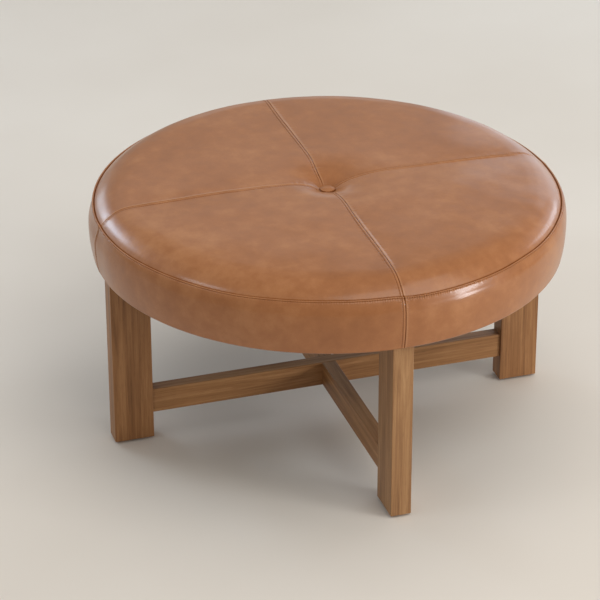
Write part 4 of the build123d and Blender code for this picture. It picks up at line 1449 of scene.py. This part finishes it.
def dust_sheet():
    """Dust cover: the flat plan sagging between its staples, drawn in rays at its edge."""
    low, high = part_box("dust_cover")
    radius = high.x / MM
    plan, triangles = dust_plan(radius)
    x, y = plan.T
    inward = STAPLE_CIRCLE - np.hypot(x, y)
    legs = [turned(LEG_PLACE, 0, turn) for turn in LEG_TURNS]
    near_leg = np.min([np.hypot(x - a, y - b) for a, b in legs], 0)
    slack = swells((60, 170), 9)
    rays = ripples((20, 52), 6)
    sag = ease(0, 95, inward) * ease(30, 110, near_leg) * (SAG[0] + SAG[1] * slack(x, y))
    drawn = hump(3, 15, 43, 113, inward) * ease(30, 80, near_leg)
    sag += RAY_HEIGHT * rays(np.arctan2(y, x) * RAY_CIRCLE) * drawn
    lower = np.stack([x, y, low.z / MM - np.maximum(sag, 0)], 1)
    upper = lower + (0, 0, (high.z - low.z) / MM)
    count = len(plan)
    faces = [t[::-1] for t in triangles] + [tuple(count + i for i in t) for t in triangles]
    sides = [pair for t in triangles for pair in zip(t, t[1:] + t[:1])]
    known = set(sides)
    faces += [(a, b, count + b, count + a) for a, b in sides if (b, a) not in known]
    obj = new_object("dust_cloth", np.concatenate([lower, upper]), faces, cover_cloth, sharp=60)
    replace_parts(obj, "dust_cover")


dust_sheet()

# Materials of the CAD nodes that stay, by the longest start of their names
# leg_front, leg_left and leg_right get the leg wood painted lighter or darker for light and shade
FINISHES = {
    "leg": wood_z, "leg_front": front_leg_wood_painted_lighter, "leg_left": left_leg_wood_painted_darker, "leg_right": right_leg_wood_painted_darker,
    "rail_left_right": wood_x, "rail_front_back": wood_y, "rail_dowels": dowel_wood, "lap_screw": zinc,
    "glide": dark_plastic, "glide_nails": zinc, "bracket": black_paint, "bracket_screws": zinc,
    "seat_bolts": zinc, "bolt_washers": zinc, "threaded_inserts": zinc, "seat_board": plywood,
    "hem_staples": staple_steel, "cover_staples": staple_steel, "button_shell": zinc, "button_back": zinc,
    "twine_anchor": anchor_plastic,
}
for name, node in frame["nodes"].items():
    if node.hide_render:
        continue
    known = sorted((key for key in FINISHES if name.startswith(key)), key=len)
    if not known:
        raise SystemExit(f"no finish for {name}")
    node.data.materials.clear()
    node.data.materials.append(FINISHES[known[-1]])


# Floor, lights and camera

FLOOR_REACH = 12000.0
FLOOR_DROP = 0.5
FLOOR_STEPS = 12


def floor():
    """Plain pale floor under the glides."""
    made, shader, add, join, place = material("pale_floor")
    clouds = noise(add, place, 1.4)
    join(ramp(add, clouds, (0.3, rgb(224, 216, 205)), (0.7, rgb(231, 224, 214))), "Base Color")
    shader.inputs["Roughness"].default_value = 0.85
    ticks = np.linspace(-FLOOR_REACH, FLOOR_REACH, FLOOR_STEPS)
    points = [(x, y, 0.0) for y in ticks for x in ticks]
    obj = mesh_object("floor", points, grid_faces(FLOOR_STEPS, FLOOR_STEPS))
    obj.location.z = -FLOOR_DROP * MM
    obj.data.materials.append(made)


# Soft lights: name, direction and elevation in degrees, distance, width and height in metres, watts, colour,
# roll in degrees, and whether the leather mirrors it
SOFTBOXES = (
    ("overhead", 60, 78, 3.2, 2.6, 2.6, 27, (1.0, 0.98, 0.96), 0, False),
    ("window_left", 126, 20.0, 3.0, 1.2, 0.28, 9, (0.6, 0.78, 1.0), 42, True),
    ("window_left_edge", 123, 17.5, 3.1, 2.6, 0.4, 9, (0.8, 0.9, 1.0), 42, True),
    ("window_left_high", -175, 41.5, 3.0, 0.9, 0.25, 5, (0.8, 0.9, 1.0), 21, True),
    ("window_back", 49, 9, 3.0, 1.5, 1.8, 9.5, (0.72, 0.86, 1.0), 0, True),
    ("wall_back", 75, 9, 3.0, 0.8, 0.5, 0.6, (0.95, 0.97, 1.0), 0, True),
    ("wall_high", 86, 30, 3.0, 2.0, 0.5, 1.2, (0.98, 0.98, 1.0), 0, True),
    ("window_right_back", 20.5, 14.5, 3.0, 1.6, 0.3, 8.5, (0.78, 0.88, 1.0), -38, True),
    ("window_right", -46, 7, 3.0, 0.66, 0.52, 25, (0.95, 0.97, 1.0), 0, True),
    ("window_front", -62, 50, 3.6, 3.0, 2.4, 49, (1.0, 0.98, 0.94), 0, True),
)
LIT_PLACE = Vector((0, 0, 0.35))


def softbox(name, turn, elevation, distance, width, height, power, colour, roll, mirrored):
    """Rectangular light that faces the seat; SOFTBOXES says what the values are."""
    light = bpy.data.lights.new(name, "AREA")
    light.shape = "RECTANGLE"
    light.size = width
    light.size_y = height
    light.energy = power
    light.color = colour
    obj = bpy.data.objects.new(name, light)
    obj.visible_glossy = mirrored
    turn, elevation = radians(turn), radians(elevation)
    way = Vector((cos(turn) * cos(elevation), sin(turn) * cos(elevation), sin(elevation)))
    obj.location = LIT_PLACE + way * distance
    spin = Quaternion((0, 0, 1), radians(roll))
    obj.rotation_euler = (way.to_track_quat("Z", "Y") @ spin).to_euler()
    bpy.context.scene.collection.objects.link(obj)


AMBIENT = (1.0, 0.955, 0.9)
AMBIENT_STRENGTH = 0.36
BACKDROP = rgb(226, 223, 218)


def world():
    """Warm ambient light, with a plain backdrop where the camera looks past the floor."""
    made = bpy.data.worlds.new("studio")
    bpy.context.scene.world = made
    made.use_nodes = True
    tree = made.node_tree
    tree.nodes.clear()
    path = tree.nodes.new("ShaderNodeLightPath")
    mix = tree.nodes.new("ShaderNodeMixShader")
    output = tree.nodes.new("ShaderNodeOutputWorld")
    tree.links.new(path.outputs["Is Camera Ray"], mix.inputs[0])
    for socket, colour, strength in ((1, AMBIENT, AMBIENT_STRENGTH), (2, BACKDROP, 1.0)):
        background = tree.nodes.new("ShaderNodeBackground")
        background.inputs["Color"].default_value = (*colour, 1)
        background.inputs["Strength"].default_value = strength
        tree.links.new(background.outputs[0], mix.inputs[socket])
    tree.links.new(mix.outputs[0], output.inputs["Surface"])


# The camera's place in metres, its right and up directions, and its lens, solved from the photograph
CAMERA_PLACE = Vector((-1.3280, -4.00453, 2.44547))
CAMERA_RIGHT = Vector((0.952194, -0.305483, -0.002544))
CAMERA_UP = Vector((0.145274, 0.445464, 0.883435))
LENS = 165.93
SENSOR = 36.0


def camera():
    """Camera at the photograph's place, looking down on the seat from its front left."""
    data = bpy.data.cameras.new("camera")
    data.sensor_width = SENSOR
    data.lens = LENS
    data.clip_end = 60
    obj = bpy.data.objects.new("camera", data)
    rotation = Matrix((CAMERA_RIGHT, CAMERA_UP, CAMERA_RIGHT.cross(CAMERA_UP))).transposed()
    obj.matrix_world = Matrix.Translation(CAMERA_PLACE) @ rotation.to_4x4()
    bpy.context.scene.collection.objects.link(obj)
    bpy.context.scene.camera = obj


floor()
world()
for box in SOFTBOXES:
    softbox(*box)
camera()
bpy.context.scene.view_settings.view_transform = "Standard"
